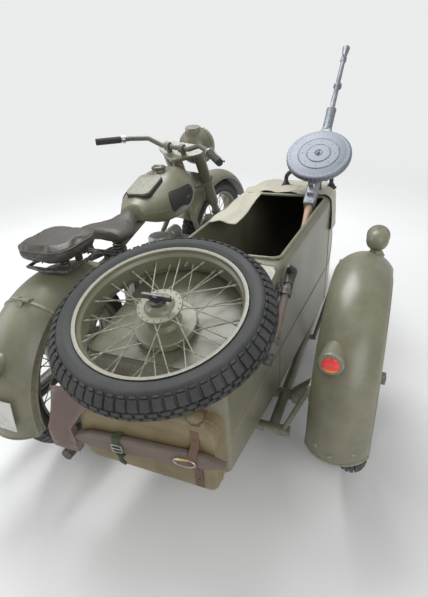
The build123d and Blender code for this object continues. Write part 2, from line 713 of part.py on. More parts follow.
def handlebar():
    """Bar with its two clamps on the upper yoke."""
    bar = bent_tube(handlebar_route(1), BAR_RADIUS, 34) + bent_tube(handlebar_route(-1), BAR_RADIUS, 34)
    top = HEAD_LENGTH / 2 + YOKE_GAP + YOKE_WALL
    clamp = head_point(0, BAR_AHEAD, BAR_UP)
    for side in (-1, 1):
        bar += steering_plane(HEAD_Z) * Pos(side * 44, BAR_AHEAD, top) * Cylinder(
            14, BAR_UP - top, align=(Align.CENTER, Align.CENTER, Align.MIN))
        bar += rod(clamp + Vector(side * 32, 0, 0), clamp + Vector(side * 56, 0, 0), 22)
    return turned(bar)


def grip_ends(side):
    route = handlebar_route(side)
    outer = Vector(*route[-1])
    inner = Vector(*route[-2])
    return outer, (inner - outer).normalized()


def handlebar_grips():
    shapes = None
    for side in (-1, 1):
        outer, along = grip_ends(side)
        start = outer - along * 4
        end = outer + along * GRIP_LENGTH
        grip = rod(start, end, GRIP_RADIUS)
        grip -= rod(outer, (end + along * 2), BAR_RADIUS)
        shapes = grip if shapes is None else shapes + grip
    return turned(shapes)


def control_levers():
    """Clamps and hand levers in front of the grips."""
    shapes = None
    for side in (-1, 1):
        outer, along = grip_ends(side)
        clamp = outer + along * (GRIP_LENGTH + 14)
        ahead = Vector(0, 46, -6)
        lever = rod(clamp - along * 9, clamp + along * 9, 20)
        lever += rod(clamp + ahead * 0.3, clamp + ahead, 7)
        lever += rod(clamp + ahead, outer + ahead, LEVER_RADIUS)
        lever -= rod(outer, clamp + along * 25, BAR_RADIUS + TOUCH)
        shapes = lever if shapes is None else shapes + lever
    return turned(shapes)


def tub_section(y, centre, half, low, high, corner, inset=0.0):
    outline = RectangleRounded(2 * (half - inset), high - low - 2 * inset, corner - inset)
    plane = Plane(origin=(centre, y, 0.5 * (low + high)), x_dir=(1, 0, 0), z_dir=(0, -1, 0))
    return plane * outline


def tub_row(y):
    """Row of the body's table at y, between the rows on both sides of it."""
    for first, second in zip(TUB_ROWS, TUB_ROWS[1:]):
        if y <= second[0]:
            break
    share = (y - first[0]) / (second[0] - first[0])
    return [low + share * (high - low) for low, high in zip(first, second)]


def tub_top(y):
    """Height of the sidecar body's top at y."""
    return tub_row(y)[4]


def tub_plan(low_y, high_y, inset):
    """Outline of the body seen from above between two places, moved in from its sides."""
    low = tub_row(low_y)
    high = tub_row(high_y)
    return [(low[1] - low[2] + inset, low_y), (low[1] + low[2] - inset, low_y),
            (high[1] + high[2] - inset, high_y), (high[1] - high[2] + inset, high_y)]


def sidecar_tub(core):
    """Hollow body with a trunk, an open cockpit and a closed nose."""
    shell = loft([tub_section(*row) for row in TUB_ROWS], ruled=True)
    inner_rows = [list(row) for row in TUB_ROWS]
    inner_rows[0][0] += TUB_WALL
    inner_rows[-1][0] -= TUB_WALL
    shell -= loft([tub_section(*row, inset=TUB_WALL) for row in inner_rows], ruled=True)
    row = TUB_ROWS[1]
    wall = tub_section(BULKHEAD_Y, *row[1:], inset=0.5 * TUB_WALL)
    shell += extrude(wall, TUB_WALL)
    trunk = tub_plan(TUB_ROWS[0][0] + TRUNK_RIM, TUB_ROWS[1][0] - TRUNK_RIM, TRUNK_RIM)
    shell -= Pos(0, 0, 570) * slab(trunk, 300)
    cockpit = tub_plan(BULKHEAD_Y + 30, COCKPIT_FRONT - 10, COCKPIT_RIM)
    shell -= Pos(0, 0, 700) * slab(cockpit, 200)
    hinge = trunk_hinge()
    for offset in HINGE_OFFSETS:
        knuckles = fixed_knuckles(hinge, LID_X + offset, KNUCKLE_HALF, hinge.Y + 12, hinge.Z - 30)
        shell += knuckles - core
    return shell


def lid_slope():
    rear = TUB_ROWS[0]
    front = TUB_ROWS[1]
    return math.degrees(math.atan2(front[4] - rear[4], front[0] - rear[0]))


def trunk_plane(y, lift):
    """Plane parallel to the trunk lid, above the body's top by lift."""
    slope = lid_slope()
    base = Vector(0, y, tub_top(y))
    normal = direction(90 + slope)
    return Plane(origin=base + normal * lift, x_dir=(1, 0, 0), z_dir=normal)


def trunk_middle():
    return 0.5 * (TUB_ROWS[0][0] + TUB_ROWS[1][0])


def trunk_hinge():
    """Point on the lid's hinge line, just ahead of its front edge."""
    plane = trunk_plane(trunk_middle(), TOUCH + LID_SHEET + HINGE_UP)
    return plane.origin + plane.y_dir * HINGE_AHEAD


def trunk_lid():
    """Sloping lid with its pressed boss and the two hinge arms."""
    plane = trunk_plane(trunk_middle(), TOUCH)
    rear = -0.5 * LID_LONG - 6
    run = math.cos(math.radians(lid_slope()))
    plan = tub_plan(trunk_middle() + rear * run, trunk_middle() + (rear + LID_LONG) * run, LID_INSET)
    corners = [(x, (y - trunk_middle()) / run) for x, y in plan]
    outline = make_face(Polyline(*corners, close=True))
    lid = plane * extrude(fillet(outline.vertices(), LID_ROUND), LID_SHEET)
    boss = trunk_plane(SPARE_Y, TOUCH + LID_SHEET) * Pos(SPARE_X, 0) * Cylinder(
        62, 2.0, align=(Align.CENTER, Align.CENTER, Align.MIN))
    shape = lid + boss
    hinge = trunk_hinge()
    for offset in HINGE_OFFSETS:
        arm = plane * Pos(LID_X + offset, HINGE_AHEAD - 17, LID_SHEET) * Box(
            2 * KNUCKLE_HALF, 34, HINGE_UP + 3, align=(Align.CENTER, Align.CENTER, Align.MIN))
        shape += arm + moving_knuckle(hinge, LID_X + offset, KNUCKLE_HALF)
    return shape


def spare_plane():
    return trunk_plane(SPARE_Y, TOUCH + LID_SHEET + 2 + SPARE_LIFT)


def spare_carrier():
    """Stud and wing nut that hold the spare wheel."""
    plane = spare_plane()
    stud = plane * Pos(SPARE_X, 0, -SPARE_LIFT) * Cylinder(
        AXLE_RADIUS, SPARE_LIFT + 82, align=(Align.CENTER, Align.CENTER, Align.MIN))
    nut = plane * Pos(SPARE_X, 0, HUB_HALF_LENGTH + TOUCH) * Cylinder(
        24, 12, align=(Align.CENTER, Align.CENTER, Align.MIN))
    wings = plane * Pos(SPARE_X, 0, HUB_HALF_LENGTH + 20) * Box(90, 8, 18)
    return stud + nut + wings


def on_spare(shape):
    """Lays a wheel piece, built along X, flat on the trunk lid with its drum side down."""
    return spare_plane() * Pos(SPARE_X, 0, 0) * Rot(0, -90, 0) * shape


def sidecar_frame(neighbours, core):
    """Tube frame under the body, its four struts to the motorcycle and the fender's two stays."""
    shape = bent_tube([(SIDE_LEFT, 40, SIDE_Z), (SIDE_LEFT, 1180, SIDE_Z), (SIDE_RIGHT, 1180, SIDE_Z),
                       (SIDE_RIGHT, 40, SIDE_Z)], SIDE_TUBE, 80)
    shape += rod((SIDE_LEFT - SIDE_TUBE, 40, SIDE_Z), (SIDE_RIGHT + 62, 40, SIDE_Z), SIDE_TUBE + 1)
    shape += rod((SIDE_LEFT, SIDECAR_LEAD, SIDE_Z), (SIDE_RIGHT + 34, SIDECAR_LEAD, SIDE_Z), SIDE_TUBE + 2)
    # Struts: frame end, motorcycle end
    struts = (((SIDE_LEFT, 1100, SIDE_Z), (FRAME_HALF + 6, 990, FRAME_BOTTOM + 6)),
              ((SIDE_LEFT, 60, SIDE_Z), (FRAME_HALF + 26, 24, 262)),
              ((SIDE_LEFT, 1010, SIDE_Z), (FRAME_HALF + 4, DOWNTUBE_Y, 450)),
              ((SIDE_LEFT, 270, SIDE_Z), (FRAME_HALF + 4, SEAT_Y, 500)))
    for start, end in struts:
        shape += rod(start, end, 13)
        shape += Pos(*start) * Sphere(26)
    for x in (470, 750):
        for y in (SIDECAR_LEAD, 1180):
            shape += rod((x, y, SIDE_Z), (x, y, 230), 22) - core
    wall = TRACK + SIDE_FENDER["dx"] - SIDE_FENDER["half"]
    # Stays: frame y, fender y, fender z
    for low_y, high_y, high_z in ((40, -40, 470), (640, 470, 620)):
        foot = (wall - TOUCH - 6, high_y, high_z)
        shape += rod((SIDE_RIGHT, low_y, SIDE_Z), (SIDE_RIGHT + 46, low_y, SIDE_Z), 12)
        shape += rod((SIDE_RIGHT + 38, low_y, SIDE_Z), foot, 9)
        shape += block((6, 60, 60), (wall - TOUCH - 3, high_y, high_z))
        shape -= block((200, 200, 200), (wall - TOUCH + 100, high_y, high_z))
    for other in neighbours:
        shape -= other
    return shape


def sidecar_axle(frame):
    """Swing arm from the frame to the stub axle inside the wheel."""
    inner = TRACK - HUB_HALF_LENGTH - MOVING_GAP
    arm = rod((SIDE_RIGHT + 44, SIDECAR_LEAD, SIDE_Z + 20), (inner - 30, SIDECAR_LEAD, TYRE_RADIUS), 20)
    arm += rod((SIDE_RIGHT + 34, SIDECAR_LEAD, SIDE_Z), (SIDE_RIGHT + 66, SIDECAR_LEAD, SIDE_Z), 32)
    arm += x_disc(30, inner - 50, inner, SIDECAR_LEAD, TYRE_RADIUS)
    arm += x_disc(AXLE_RADIUS, inner - 20, TRACK + HUB_HALF_LENGTH + 22, SIDECAR_LEAD, TYRE_RADIUS)
    hub_end = TRACK + HUB_HALF_LENGTH
    arm += x_disc(22, hub_end + MOVING_GAP, hub_end + 20, SIDECAR_LEAD, TYRE_RADIUS)
    return arm - frame


def fuel_can():
    """Flat steel can across the rear wall."""
    y = TUB_ROWS[0][0] - TOUCH - CAN_SIZE[1] / 2
    centre = (CAN_CENTRE_X, y, CAN_BOTTOM + CAN_SIZE[2] / 2)
    can = rounded_box(CAN_SIZE, 22, centre)
    return fillet(can.edges().group_by(Axis.Y)[0], 10)


def can_rear():
    return TUB_ROWS[0][0] - TOUCH - CAN_SIZE[1]


def handle_plane():
    """Upright plane on the handle's rear face: x along the handle, y square to it, z to the rear."""
    tilt = math.radians(HANDLE_TILT)
    origin = (HANDLE_X, can_rear() - TOUCH, CAN_BOTTOM + HANDLE_UP)
    return Plane(origin=origin, x_dir=(math.cos(tilt), 0, math.sin(tilt)), z_dir=(0, -1, 0))


def axe_handle():
    """Flat tapered hardwood handle strapped across the can."""
    half = 0.5 * HANDLE_LENGTH
    outline = make_face(Polyline((-half, -HANDLE_LEFT_HALF), (half, -HANDLE_RIGHT_HALF),
                                 (half, HANDLE_RIGHT_HALF), (-half, HANDLE_LEFT_HALF), close=True))
    return handle_plane() * extrude(fillet(outline.vertices(), 10), HANDLE_DEPTH)


def axe_head():
    """Broad blade pointing up, with its eye at the handle's end."""
    start = -0.5 * HANDLE_LENGTH
    outline = make_face(Polyline(*[(start + x, y) for x, y in HEAD_OUTLINE], close=True))
    return handle_plane() * extrude(outline, HEAD_DEPTH)


def can_straps():
    """A strap round the can and the handle, and one round the handle alone."""
    front = TUB_ROWS[0][0] - TOUCH
    wrap = CAN_SIZE[1] + HANDLE_DEPTH + 3 * TOUCH
    height = CAN_SIZE[2] + 2 * TOUCH
    middle = CAN_BOTTOM + CAN_SIZE[2] / 2
    outer = block((STRAP_WIDTH, wrap + STRAP_WALL, height + 2 * STRAP_WALL),
                  (CAN_STRAP_X, front - (wrap + STRAP_WALL) / 2, middle))
    inside = (STRAP_WIDTH + 2, wrap + 2, height)
    long_strap = outer - block(inside, (CAN_STRAP_X, front - wrap / 2 + 1, middle))
    along = (HANDLE_STRAP_X - HANDLE_X) / math.cos(math.radians(HANDLE_TILT))
    share = along / HANDLE_LENGTH + 0.5
    half = HANDLE_LEFT_HALF + share * (HANDLE_RIGHT_HALF - HANDLE_LEFT_HALF) + 2.0
    plane = handle_plane() * Pos(along, 0)
    lift = Align.CENTER, Align.CENTER, Align.MIN
    depth = HANDLE_DEPTH + TOUCH
    short_strap = plane * Box(STRAP_WIDTH, 2 * (half + STRAP_WALL), depth + STRAP_WALL, align=lift)
    short_strap -= plane * Pos(0, 0, -1) * Box(STRAP_WIDTH + 2, 2 * half, depth + 1, align=lift)
    return long_strap + short_strap


def seat_cushion():
    cushion = Pos(596, 470, 281) * Box(350, 360, 150)
    return fillet(cushion.edges(), 24)


def seat_back():
    """Backrest leaning on the bulkhead."""
    tilt = math.radians(SEAT_TILT)
    reach = (0.5 * SEAT_BACK[1] - SEAT_ROUND) * math.cos(tilt)
    reach += (0.5 * SEAT_BACK[2] - SEAT_ROUND) * math.sin(tilt)
    y = BULKHEAD_Y + TOUCH + reach + SEAT_ROUND
    back = Pos(SEAT_X, y, 560) * Rot(SEAT_TILT, 0, 0) * Box(*SEAT_BACK)
    return fillet(back.edges(), SEAT_ROUND)


def tub_core():
    """The body's outer form, filled."""
    return loft([tub_section(*row) for row in TUB_ROWS], ruled=True)


def apron(core):
    """Canvas cover over the cowl, hanging down its sides and run back along the cockpit's left."""
    sections = []
    for y in (APRON_REAR, 1000.0, APRON_FRONT):
        row = tub_row(y)
        half = row[2] + APRON_SIDE
        deck = row[4]
        sections.append(tub_section(y, row[1], half, deck - APRON_DROP, deck + APRON_WALL, APRON_ROUND))
    cover = loft(sections, ruled=True)
    edge = tub_plan(FLAP_REAR, APRON_REAR + 1, 10.0)
    flap = [edge[0], (FLAP_X, FLAP_REAR), (FLAP_X, APRON_REAR + 1), edge[3]]
    cover += Pos(0, 0, tub_top(FLAP_REAR)) * slab(flap, APRON_WALL)
    return cover - core - rod((GUN_X, GUN_Y, 600), (GUN_X, GUN_Y, 900), FOOT_RADIUS + 1)


def grab_rail(cover):
    """Hoop-shaped hand rail on the cowl, ahead of the gun."""
    deck = tub_top(RAIL_Y) + 4
    top = deck + RAIL_HEIGHT
    right = RAIL_LEFT + RAIL_SPAN
    left_foot = (RAIL_LEFT, RAIL_Y, deck)
    right_foot = (right, RAIL_Y, deck)
    hoop = bent_tube([left_foot, (RAIL_LEFT, RAIL_Y, top), (right, RAIL_Y, top), right_foot], RAIL_TUBE, 40)
    return hoop - cover


def gun_axes():
    """Barrel direction and the direction up from it, at rest."""
    return direction(GUN_ELEVATION), direction(GUN_ELEVATION + 90)


def gun_point(x, along, above):
    barrel, up = gun_axes()
    return Vector(GUN_X + x, GUN_Y, GUN_PIVOT_Z) + barrel * along + up * above


def gun_box(low_along, high_along, low_above, high_above, half):
    """Box in the gun's own directions."""
    centre = gun_point(0, 0.5 * (low_along + high_along), 0.5 * (low_above + high_above))
    barrel, up = gun_axes()
    plane = Plane(origin=centre, x_dir=(1, 0, 0), z_dir=up)
    return plane * Box(2 * half, high_along - low_along, high_above - low_above)


def gun_post(core):
    """Fixed post on the deck, open at the top for the swivel."""
    deck = tub_top(GUN_Y)
    post = rod((GUN_X, GUN_Y, deck + TOUCH), (GUN_X, GUN_Y, GUN_PIVOT_Z - 62), POST_RADIUS)
    foot = rod((GUN_X, GUN_Y, deck - 10), (GUN_X, GUN_Y, deck + 12), FOOT_RADIUS)
    socket = rod((GUN_X, GUN_Y, deck + 20), (GUN_X, GUN_Y, GUN_PIVOT_Z), TRUNNION_RADIUS + AXLE_RUNNING)
    return post + foot - socket - core


def gun_cradle():
    """Swivel fork that turns in the post."""
    bottom = GUN_PIVOT_Z - 60
    pin = rod((GUN_X, GUN_Y, tub_top(GUN_Y) + 24), (GUN_X, GUN_Y, bottom + 6), TRUNNION_RADIUS)
    width = 2 * (CRADLE_HALF + CRADLE_WALL)
    base = block((width, 40, 12), (GUN_X, GUN_Y, bottom + 6))
    shape = pin + base
    for side in (-1, 1):
        middle = GUN_X + side * (CRADLE_HALF + CRADLE_WALL / 2)
        shape += block((CRADLE_WALL, 40, 78), (middle, GUN_Y, bottom + 39))
    return shape - x_disc(TRUNNION_RADIUS + AXLE_RUNNING, GUN_X - 60, GUN_X + 60, GUN_Y, GUN_PIVOT_Z)


def gun_body():
    """Receiver, barrel, flash hider and the trunnion pin; the barrel is solid."""
    shape = gun_box(-250, 190, -22, 34, RECEIVER_HALF)
    shape += rod(gun_point(0, 190, 12), gun_point(0, 330, 12), 24)
    shape += rod(gun_point(0, 330, 12), gun_point(0, MUZZLE_REACH, 12), BARREL_RADIUS)
    shape += rod(gun_point(0, MUZZLE_REACH - 110, 12), gun_point(0, MUZZLE_REACH, 12), 19)
    shape += x_disc(TRUNNION_RADIUS, GUN_X - 42, GUN_X + 42, GUN_Y, GUN_PIVOT_Z)
    return shape


def gun_pan():
    """Round flat magazine lying on the receiver."""
    barrel, up = gun_axes()
    low = gun_point(0, 0, 34 + TOUCH)
    pan = rod(low, low + up * PAN_HEIGHT, PAN_RADIUS)
    lip = rod(low + up * PAN_HEIGHT, low + up * (PAN_HEIGHT + 5), PAN_RADIUS - 34)
    return pan + lip


def gun_stock():
    """Wooden butt and grip behind the receiver."""
    butt = gun_box(-BUTT_REACH, -250 - TOUCH, -44, 18, 18)
    grip = rod(gun_point(0, -228, -22 - TOUCH), gun_point(0, -262, -92), 15)
    return butt + grip


def fender_point(spec, spot, angle, out):
    """Point on a fender's ridge line, moved out by a distance."""
    base = Vector(spot[0] + spec["dx"], spot[1] + spec["dy"], spot[2])
    return base + direction(angle) * (spec["crown"] + out)


def fender_core(spec, spot, past=TOUCH):
    """Solid that fills a fender's whole circle to a small distance past its outer skin."""
    half = spec["half"] + past
    shoulder = spec["shoulder"] + past
    edges = [Line((-half, 0), (-half, shoulder)),
             ThreePointArc((-half, shoulder), (0, spec["crown"] + past), (half, shoulder)),
             Line((half, shoulder), (half, 0)), Line((half, 0), (-half, 0))]
    return Pos(spot[0] + spec["dx"], spot[1] + spec["dy"], spot[2]) * revolve(make_face(edges), Axis.X)


def tail_hinge():
    """Point on the hinge line of the rear fender's tail."""
    seam = 0.5 * (REAR_FENDER["end"] + REAR_TAIL["start"])
    return fender_point(REAR_FENDER, (0, 0, TYRE_RADIUS), seam, TAIL_HINGE_OUT)


def rear_fender(upper):
    """Fixed part of the rear fender with its hinge knuckles and side brackets."""
    spot = (0, 0, TYRE_RADIUS)
    shape = fender_shell(REAR_FENDER, *spot)
    core = fender_core(REAR_FENDER, spot, 0)
    hinge = tail_hinge()
    base = fender_point(REAR_FENDER, spot, REAR_FENDER["end"] - 2.0, -8)
    shape += fixed_knuckles(hinge, 0, KNUCKLE_HALF, base.Y, base.Z) - core
    for side in (-1, 1):
        shape += block((12, 40, 30), (side * (REAR_FENDER["half"] + 6), 208, 599)) - upper
    return shape


def rear_fender_tail():
    """Hinged rear part of the rear fender."""
    spot = (0, 0, TYRE_RADIUS)
    hinge = tail_hinge()
    base = fender_point(REAR_TAIL, spot, REAR_TAIL["start"] + 3.0, -1)
    span = base - hinge
    plane = Plane(origin=hinge, x_dir=(1, 0, 0), z_dir=span.normalized())
    tongue = plane * Box(2 * KNUCKLE_HALF, 5, span.length, align=(Align.CENTER, Align.CENTER, Align.MIN))
    tongue -= fender_core(REAR_TAIL, spot, 0)
    return fender_shell(REAR_TAIL, *spot) + tongue + moving_knuckle(hinge, 0, KNUCKLE_HALF)


def tail_lamp(spec, spot, angle, offset):
    """Tear-shaped lamp body on a fender's ridge, its round lens facing back."""
    seat = fender_point(spec, spot, angle, 0) + Vector(offset, 0, 0)
    lens = seat + Vector(0, -34, 0)
    body = rod(lens, lens + Vector(0, 46, 0), TAIL_LAMP_RADIUS)
    cone = Plane(origin=lens + Vector(0, 46, 0), z_dir=(0, 1, 0)) * Cone(
        TAIL_LAMP_RADIUS, 6, 74, align=(Align.CENTER, Align.CENTER, Align.MIN))
    glass = rod(lens, lens + Vector(0, -7, 0), TAIL_LAMP_RADIUS - 6)
    return body + cone + glass - fender_core(spec, spot)


def number_plate():
    """Blank plate under the tail lamp."""
    seat = fender_point(REAR_TAIL, (0, 0, TYRE_RADIUS), 168, 0)
    plane = Plane(origin=seat + Vector(0, -8, -10), x_dir=(1, 0, 0), z_dir=(0, -1, 0.12))
    foot = rod(seat + Vector(0, 40, 0), seat + Vector(0, -8, 0), 12)
    plate = plane * Box(PLATE_SIZE[0], PLATE_SIZE[2], PLATE_SIZE[1]) + foot
    return plate - fender_core(REAR_TAIL, (0, 0, TYRE_RADIUS))


def marker_lamp():
    """Forward lamp on the sidecar fender's front shoulder, domed at the back."""
    spot = (TRACK, SIDECAR_LEAD, TYRE_RADIUS)
    seat = fender_point(SIDE_FENDER, spot, MARKER_ANGLE, 0) + Vector(MARKER_OFFSET, 0, 0)
    middle = seat + Vector(0, 0, MARKER_LIFT)
    lamp = rod(middle, middle + Vector(0, MARKER_LENGTH, 0), MARKER_RADIUS)
    lamp += Pos(*middle) * Sphere(MARKER_RADIUS)
    foot = rod(middle - Vector(0, 0, MARKER_LIFT + 30), middle, MARKER_FOOT)
    return lamp + foot - fender_core(SIDE_FENDER, spot)


def side_tool(core):
    """Short hand tool clipped to the body's right side: ash handle, iron head and two clips."""
    high = Vector(TOOL_X, 226, 712)
    low = Vector(TOOL_X, -70, 556)
    run = (high - low).normalized()
    handle = rod(low, high, TOOL_RADIUS)
    head = Plane(origin=high, x_dir=(1, 0, 0), z_dir=run) * Box(34, 132, 40)
    clips = None
    for share in (0.24, 0.76):
        spot = low + (high - low) * share
        clip = Plane(origin=spot, x_dir=(1, 0, 0), z_dir=run) * Cylinder(TOOL_RADIUS + 4, 26)
        arm = Plane(origin=spot - Vector(40, 0, 0), x_dir=(1, 0, 0), z_dir=run) * Box(80, 22, 24)
        clips = clip + arm if clips is None else clips + clip + arm
    return handle + head + (clips - core)


def build_nodes():
    tank = fuel_tank()
    wheel = wheel_solid()
    tyre = tyre_solid()
    spots = {"rear": (0, 0, TYRE_RADIUS), "front": (0, WHEELBASE, TYRE_RADIUS),
             "sidecar": (TRACK, SIDECAR_LEAD, TYRE_RADIUS)}
    nodes = {}
    core = tub_core()
    for name, spot in spots.items():
        moved_wheel = Pos(*spot) * wheel
        moved_tyre = Pos(*spot) * tyre
        if name == "front":
            moved_wheel = turned(moved_wheel)
            moved_tyre = turned(moved_tyre)
        nodes[name + "_wheel"] = moved_wheel
        nodes[name + "_tyre"] = moved_tyre
    nodes["spare_wheel"] = on_spare(wheel)
    nodes["spare_tyre"] = on_spare(tyre)
    cradle = frame_cradle()
    upper = frame_upper(cradle)
    nodes["frame_upper"] = upper
    nodes["frame_cradle"] = cradle
    nodes["engine_block"] = engine_block()
    barrels = cylinders()
    nodes["cylinders"] = barrels
    nodes["carburettors"] = carburettors()
    nodes["exhaust_system"] = exhaust_system(barrels, cradle)
    nodes["final_drive"] = final_drive()
    nodes["rear_suspension"] = rear_suspension()
    nodes["rear_axle"] = rear_axle()
    nodes["fuel_tank"] = tank
    nodes["tank_toolbox_lid"] = toolbox_lid()
    nodes["toolbox_seal"] = toolbox_seal(tank)
    nodes["knee_pads"] = knee_pads(tank)
    nodes["rider_saddle"] = rider_saddle()
    nodes["pillion_saddle"] = pillion_saddle()
    nodes["foot_rests"] = foot_rests()
    nodes["rear_fender"] = rear_fender(upper)
    nodes["rear_fender_tail"] = rear_fender_tail()
    fork = front_fork()
    nodes["front_fork"] = fork
    nodes["front_axle"] = front_axle()
    nodes["front_fender"] = front_fender(fork)
    nodes["headlight"] = headlight()
    nodes["handlebar"] = handlebar()
    nodes["handlebar_grips"] = handlebar_grips()
    nodes["control_levers"] = control_levers()
    nodes["sidecar_tub"] = sidecar_tub(core)
    nodes["trunk_lid"] = trunk_lid()
    nodes["spare_carrier"] = spare_carrier()
    side_frame = sidecar_frame((cradle, upper), core)
    nodes["sidecar_frame"] = side_frame
    nodes["sidecar_axle"] = sidecar_axle(side_frame)
    nodes["sidecar_fender"] = fender_shell(SIDE_FENDER, *spots["sidecar"])
    nodes["tail_lamp"] = tail_lamp(REAR_TAIL, spots["rear"], REAR_LAMP_ANGLE, 0.0)
    nodes["number_plate"] = number_plate()
    nodes["sidecar_tail_lamp"] = tail_lamp(SIDE_FENDER, spots["sidecar"], SIDE_LAMP_ANGLE, SIDE_LAMP_OFFSET)
    nodes["marker_lamp"] = marker_lamp()
    nodes["fuel_can"] = fuel_can()
    nodes["axe_handle"] = axe_handle()
    nodes["axe_head"] = axe_head()
    nodes["can_straps"] = can_straps()
    nodes["seat_cushion"] = seat_cushion()
    nodes["seat_back"] = seat_back()
    nodes["apron"] = apron(core)
    nodes["grab_rail"] = grab_rail(nodes["apron"])
    nodes["side_tool"] = side_tool(core)
    nodes["gun_post"] = gun_post(core)
    nodes["gun_cradle"] = gun_cradle()
    nodes["gun_body"] = gun_body()
    nodes["gun_pan"] = gun_pan()
    nodes["gun_stock"] = gun_stock() - nodes["gun_body"]
    return nodes


def centre_shift(nodes):
    """Move that puts the origin at the bottom centre of the whole machine."""
    boxes = [shape.bounding_box() for shape in nodes.values()]
    low = [min(getattr(box.min, letter) for box in boxes) for letter in "XYZ"]
    high = [max(getattr(box.max, letter) for box in boxes) for letter in "XYZ"]
    return Vector(-0.5 * (low[0] + high[0]), -0.5 * (low[1] + high[1]), -low[2])


def main():
    os.makedirs("parts", exist_ok=True)
    nodes = build_nodes()
    shift = centre_shift(nodes)
    for name, shape in nodes.items():
        export_step(Pos(shift) * shape, "parts/" + name + ".step")


if __name__ == "__main__":
    main()
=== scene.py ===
import json
import math

import bmesh
import bpy
from mathutils import Matrix, Vector, noise
from mathutils.bvhtree import BVHTree


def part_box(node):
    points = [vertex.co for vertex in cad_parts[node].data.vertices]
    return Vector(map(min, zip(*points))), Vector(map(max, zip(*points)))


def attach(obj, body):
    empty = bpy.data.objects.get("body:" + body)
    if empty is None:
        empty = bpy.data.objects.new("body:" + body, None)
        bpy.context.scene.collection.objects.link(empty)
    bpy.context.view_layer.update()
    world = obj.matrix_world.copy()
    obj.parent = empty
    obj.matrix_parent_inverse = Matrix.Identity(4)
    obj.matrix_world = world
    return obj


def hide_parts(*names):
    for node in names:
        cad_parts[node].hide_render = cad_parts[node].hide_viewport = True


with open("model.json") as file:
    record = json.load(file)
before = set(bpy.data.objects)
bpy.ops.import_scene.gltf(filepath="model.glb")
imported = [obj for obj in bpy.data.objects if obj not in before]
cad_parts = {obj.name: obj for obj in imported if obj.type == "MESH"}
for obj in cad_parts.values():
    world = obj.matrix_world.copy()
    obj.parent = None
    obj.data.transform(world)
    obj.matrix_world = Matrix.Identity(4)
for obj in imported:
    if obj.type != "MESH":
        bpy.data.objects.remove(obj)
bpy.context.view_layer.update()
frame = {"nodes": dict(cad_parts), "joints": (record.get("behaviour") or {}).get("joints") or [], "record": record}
NODES = frame["nodes"]
JOINTS = {j["name"]: j for j in frame["joints"]}


def middle(node):
    low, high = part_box(node)
    return (low + high) / 2


def linked(name, data):
    """New object in the scene's collection."""
    made = bpy.data.objects.new(name, data)
    bpy.context.scene.collection.objects.link(made)
    return made


# Everything is placed from the rear axle: x to the right of it, y ahead of it, z above the ground.
REAR = middle("rear_wheel")
WHEEL_R = 0.335


def at(x, y, z):
    return Vector((REAR.x + x, REAR.y + y, z))


# Camera
SENSOR_WIDTH = 36.0
PHOTO_LONG_SIDE = 597.0
CAMERA_FOCAL = 434.0
CAMERA_AT = (1.093, -1.059, 1.384)
CAMERA_RIGHT = Vector((0.92681, 0.3699, -0.06484))
CAMERA_UP = Vector((-0.13487, 0.48899, 0.8618))
CAMERA_AHEAD = Vector((-0.35048, 0.78998, -0.50308))

camera_data = bpy.data.cameras.new("camera")
camera_data.lens = SENSOR_WIDTH * CAMERA_FOCAL / PHOTO_LONG_SIDE
camera_data.clip_start = 0.05
camera = linked("camera", camera_data)
camera.matrix_world = Matrix.Translation(at(*CAMERA_AT)) @ Matrix(
    (CAMERA_RIGHT, CAMERA_UP, -CAMERA_AHEAD)).transposed().to_4x4()
bpy.context.scene.camera = camera


# Materials
def graph(name):
    made = bpy.data.materials.new(name)
    made.use_nodes = True
    tree = made.node_tree
    return made, tree, tree.nodes["Principled BSDF"]


def node(tree, kind, **values):
    made = tree.nodes.new(kind)
    for key, value in values.items():
        if key in made.inputs:
            made.inputs[key].default_value = value
        else:
            setattr(made, key, value)
    return made


def ramp(tree, source, stops):
    made = tree.nodes.new("ShaderNodeValToRGB")
    elements = made.color_ramp.elements
    while len(elements) < len(stops):
        elements.new(0.5)
    for element, (place, value) in zip(elements, stops):
        element.position = place
        shade = value if hasattr(value, "__len__") else (value,) * 3
        element.color = (*shade, 1.0)
    tree.links.new(source, made.inputs[0])
    return made.outputs[0]


def mix(tree, share, first, second):
    made = node(tree, "ShaderNodeMix", data_type="RGBA")
    for socket, value in ((made.inputs[6], first), (made.inputs[7], second)):
        if hasattr(value, "__len__"):
            socket.default_value = (*value, 1.0)
        else:
            tree.links.new(value, socket)
    if isinstance(share, float):
        made.inputs[0].default_value = share
    else:
        tree.links.new(share, made.inputs[0])
    return made.outputs[2]


def times(tree, first, second):
    made = node(tree, "ShaderNodeMath", operation="MULTIPLY")
    tree.links.new(first, made.inputs[0])
    tree.links.new(second, made.inputs[1])
    return made.outputs[0]


def noise_of(tree, scale, detail=4.0, rough=0.6, stretch=(1, 1, 1)):
    place = tree.nodes.new("ShaderNodeTexCoord")
    mapping = node(tree, "ShaderNodeMapping", Scale=stretch)
    made = node(tree, "ShaderNodeTexNoise", Scale=scale, Detail=detail, Roughness=rough)
    tree.links.new(place.outputs["Object"], mapping.inputs[0])
    tree.links.new(mapping.outputs[0], made.inputs["Vector"])
    return made.outputs[0]


def bump(tree, shader, *layers):
    """Layers of height source and depth in metres, stacked on the shader's normal."""
    last = None
    for source, strength, distance in layers:
        made = node(tree, "ShaderNodeBump", Strength=strength, Distance=distance)
        tree.links.new(source, made.inputs["Height"])
        if last is not None:
            tree.links.new(last, made.inputs["Normal"])
        last = made.outputs[0]
    tree.links.new(last, shader.inputs["Normal"])


def scaled(colour, factor):
    return tuple(min(1.0, c * factor) for c in colour)


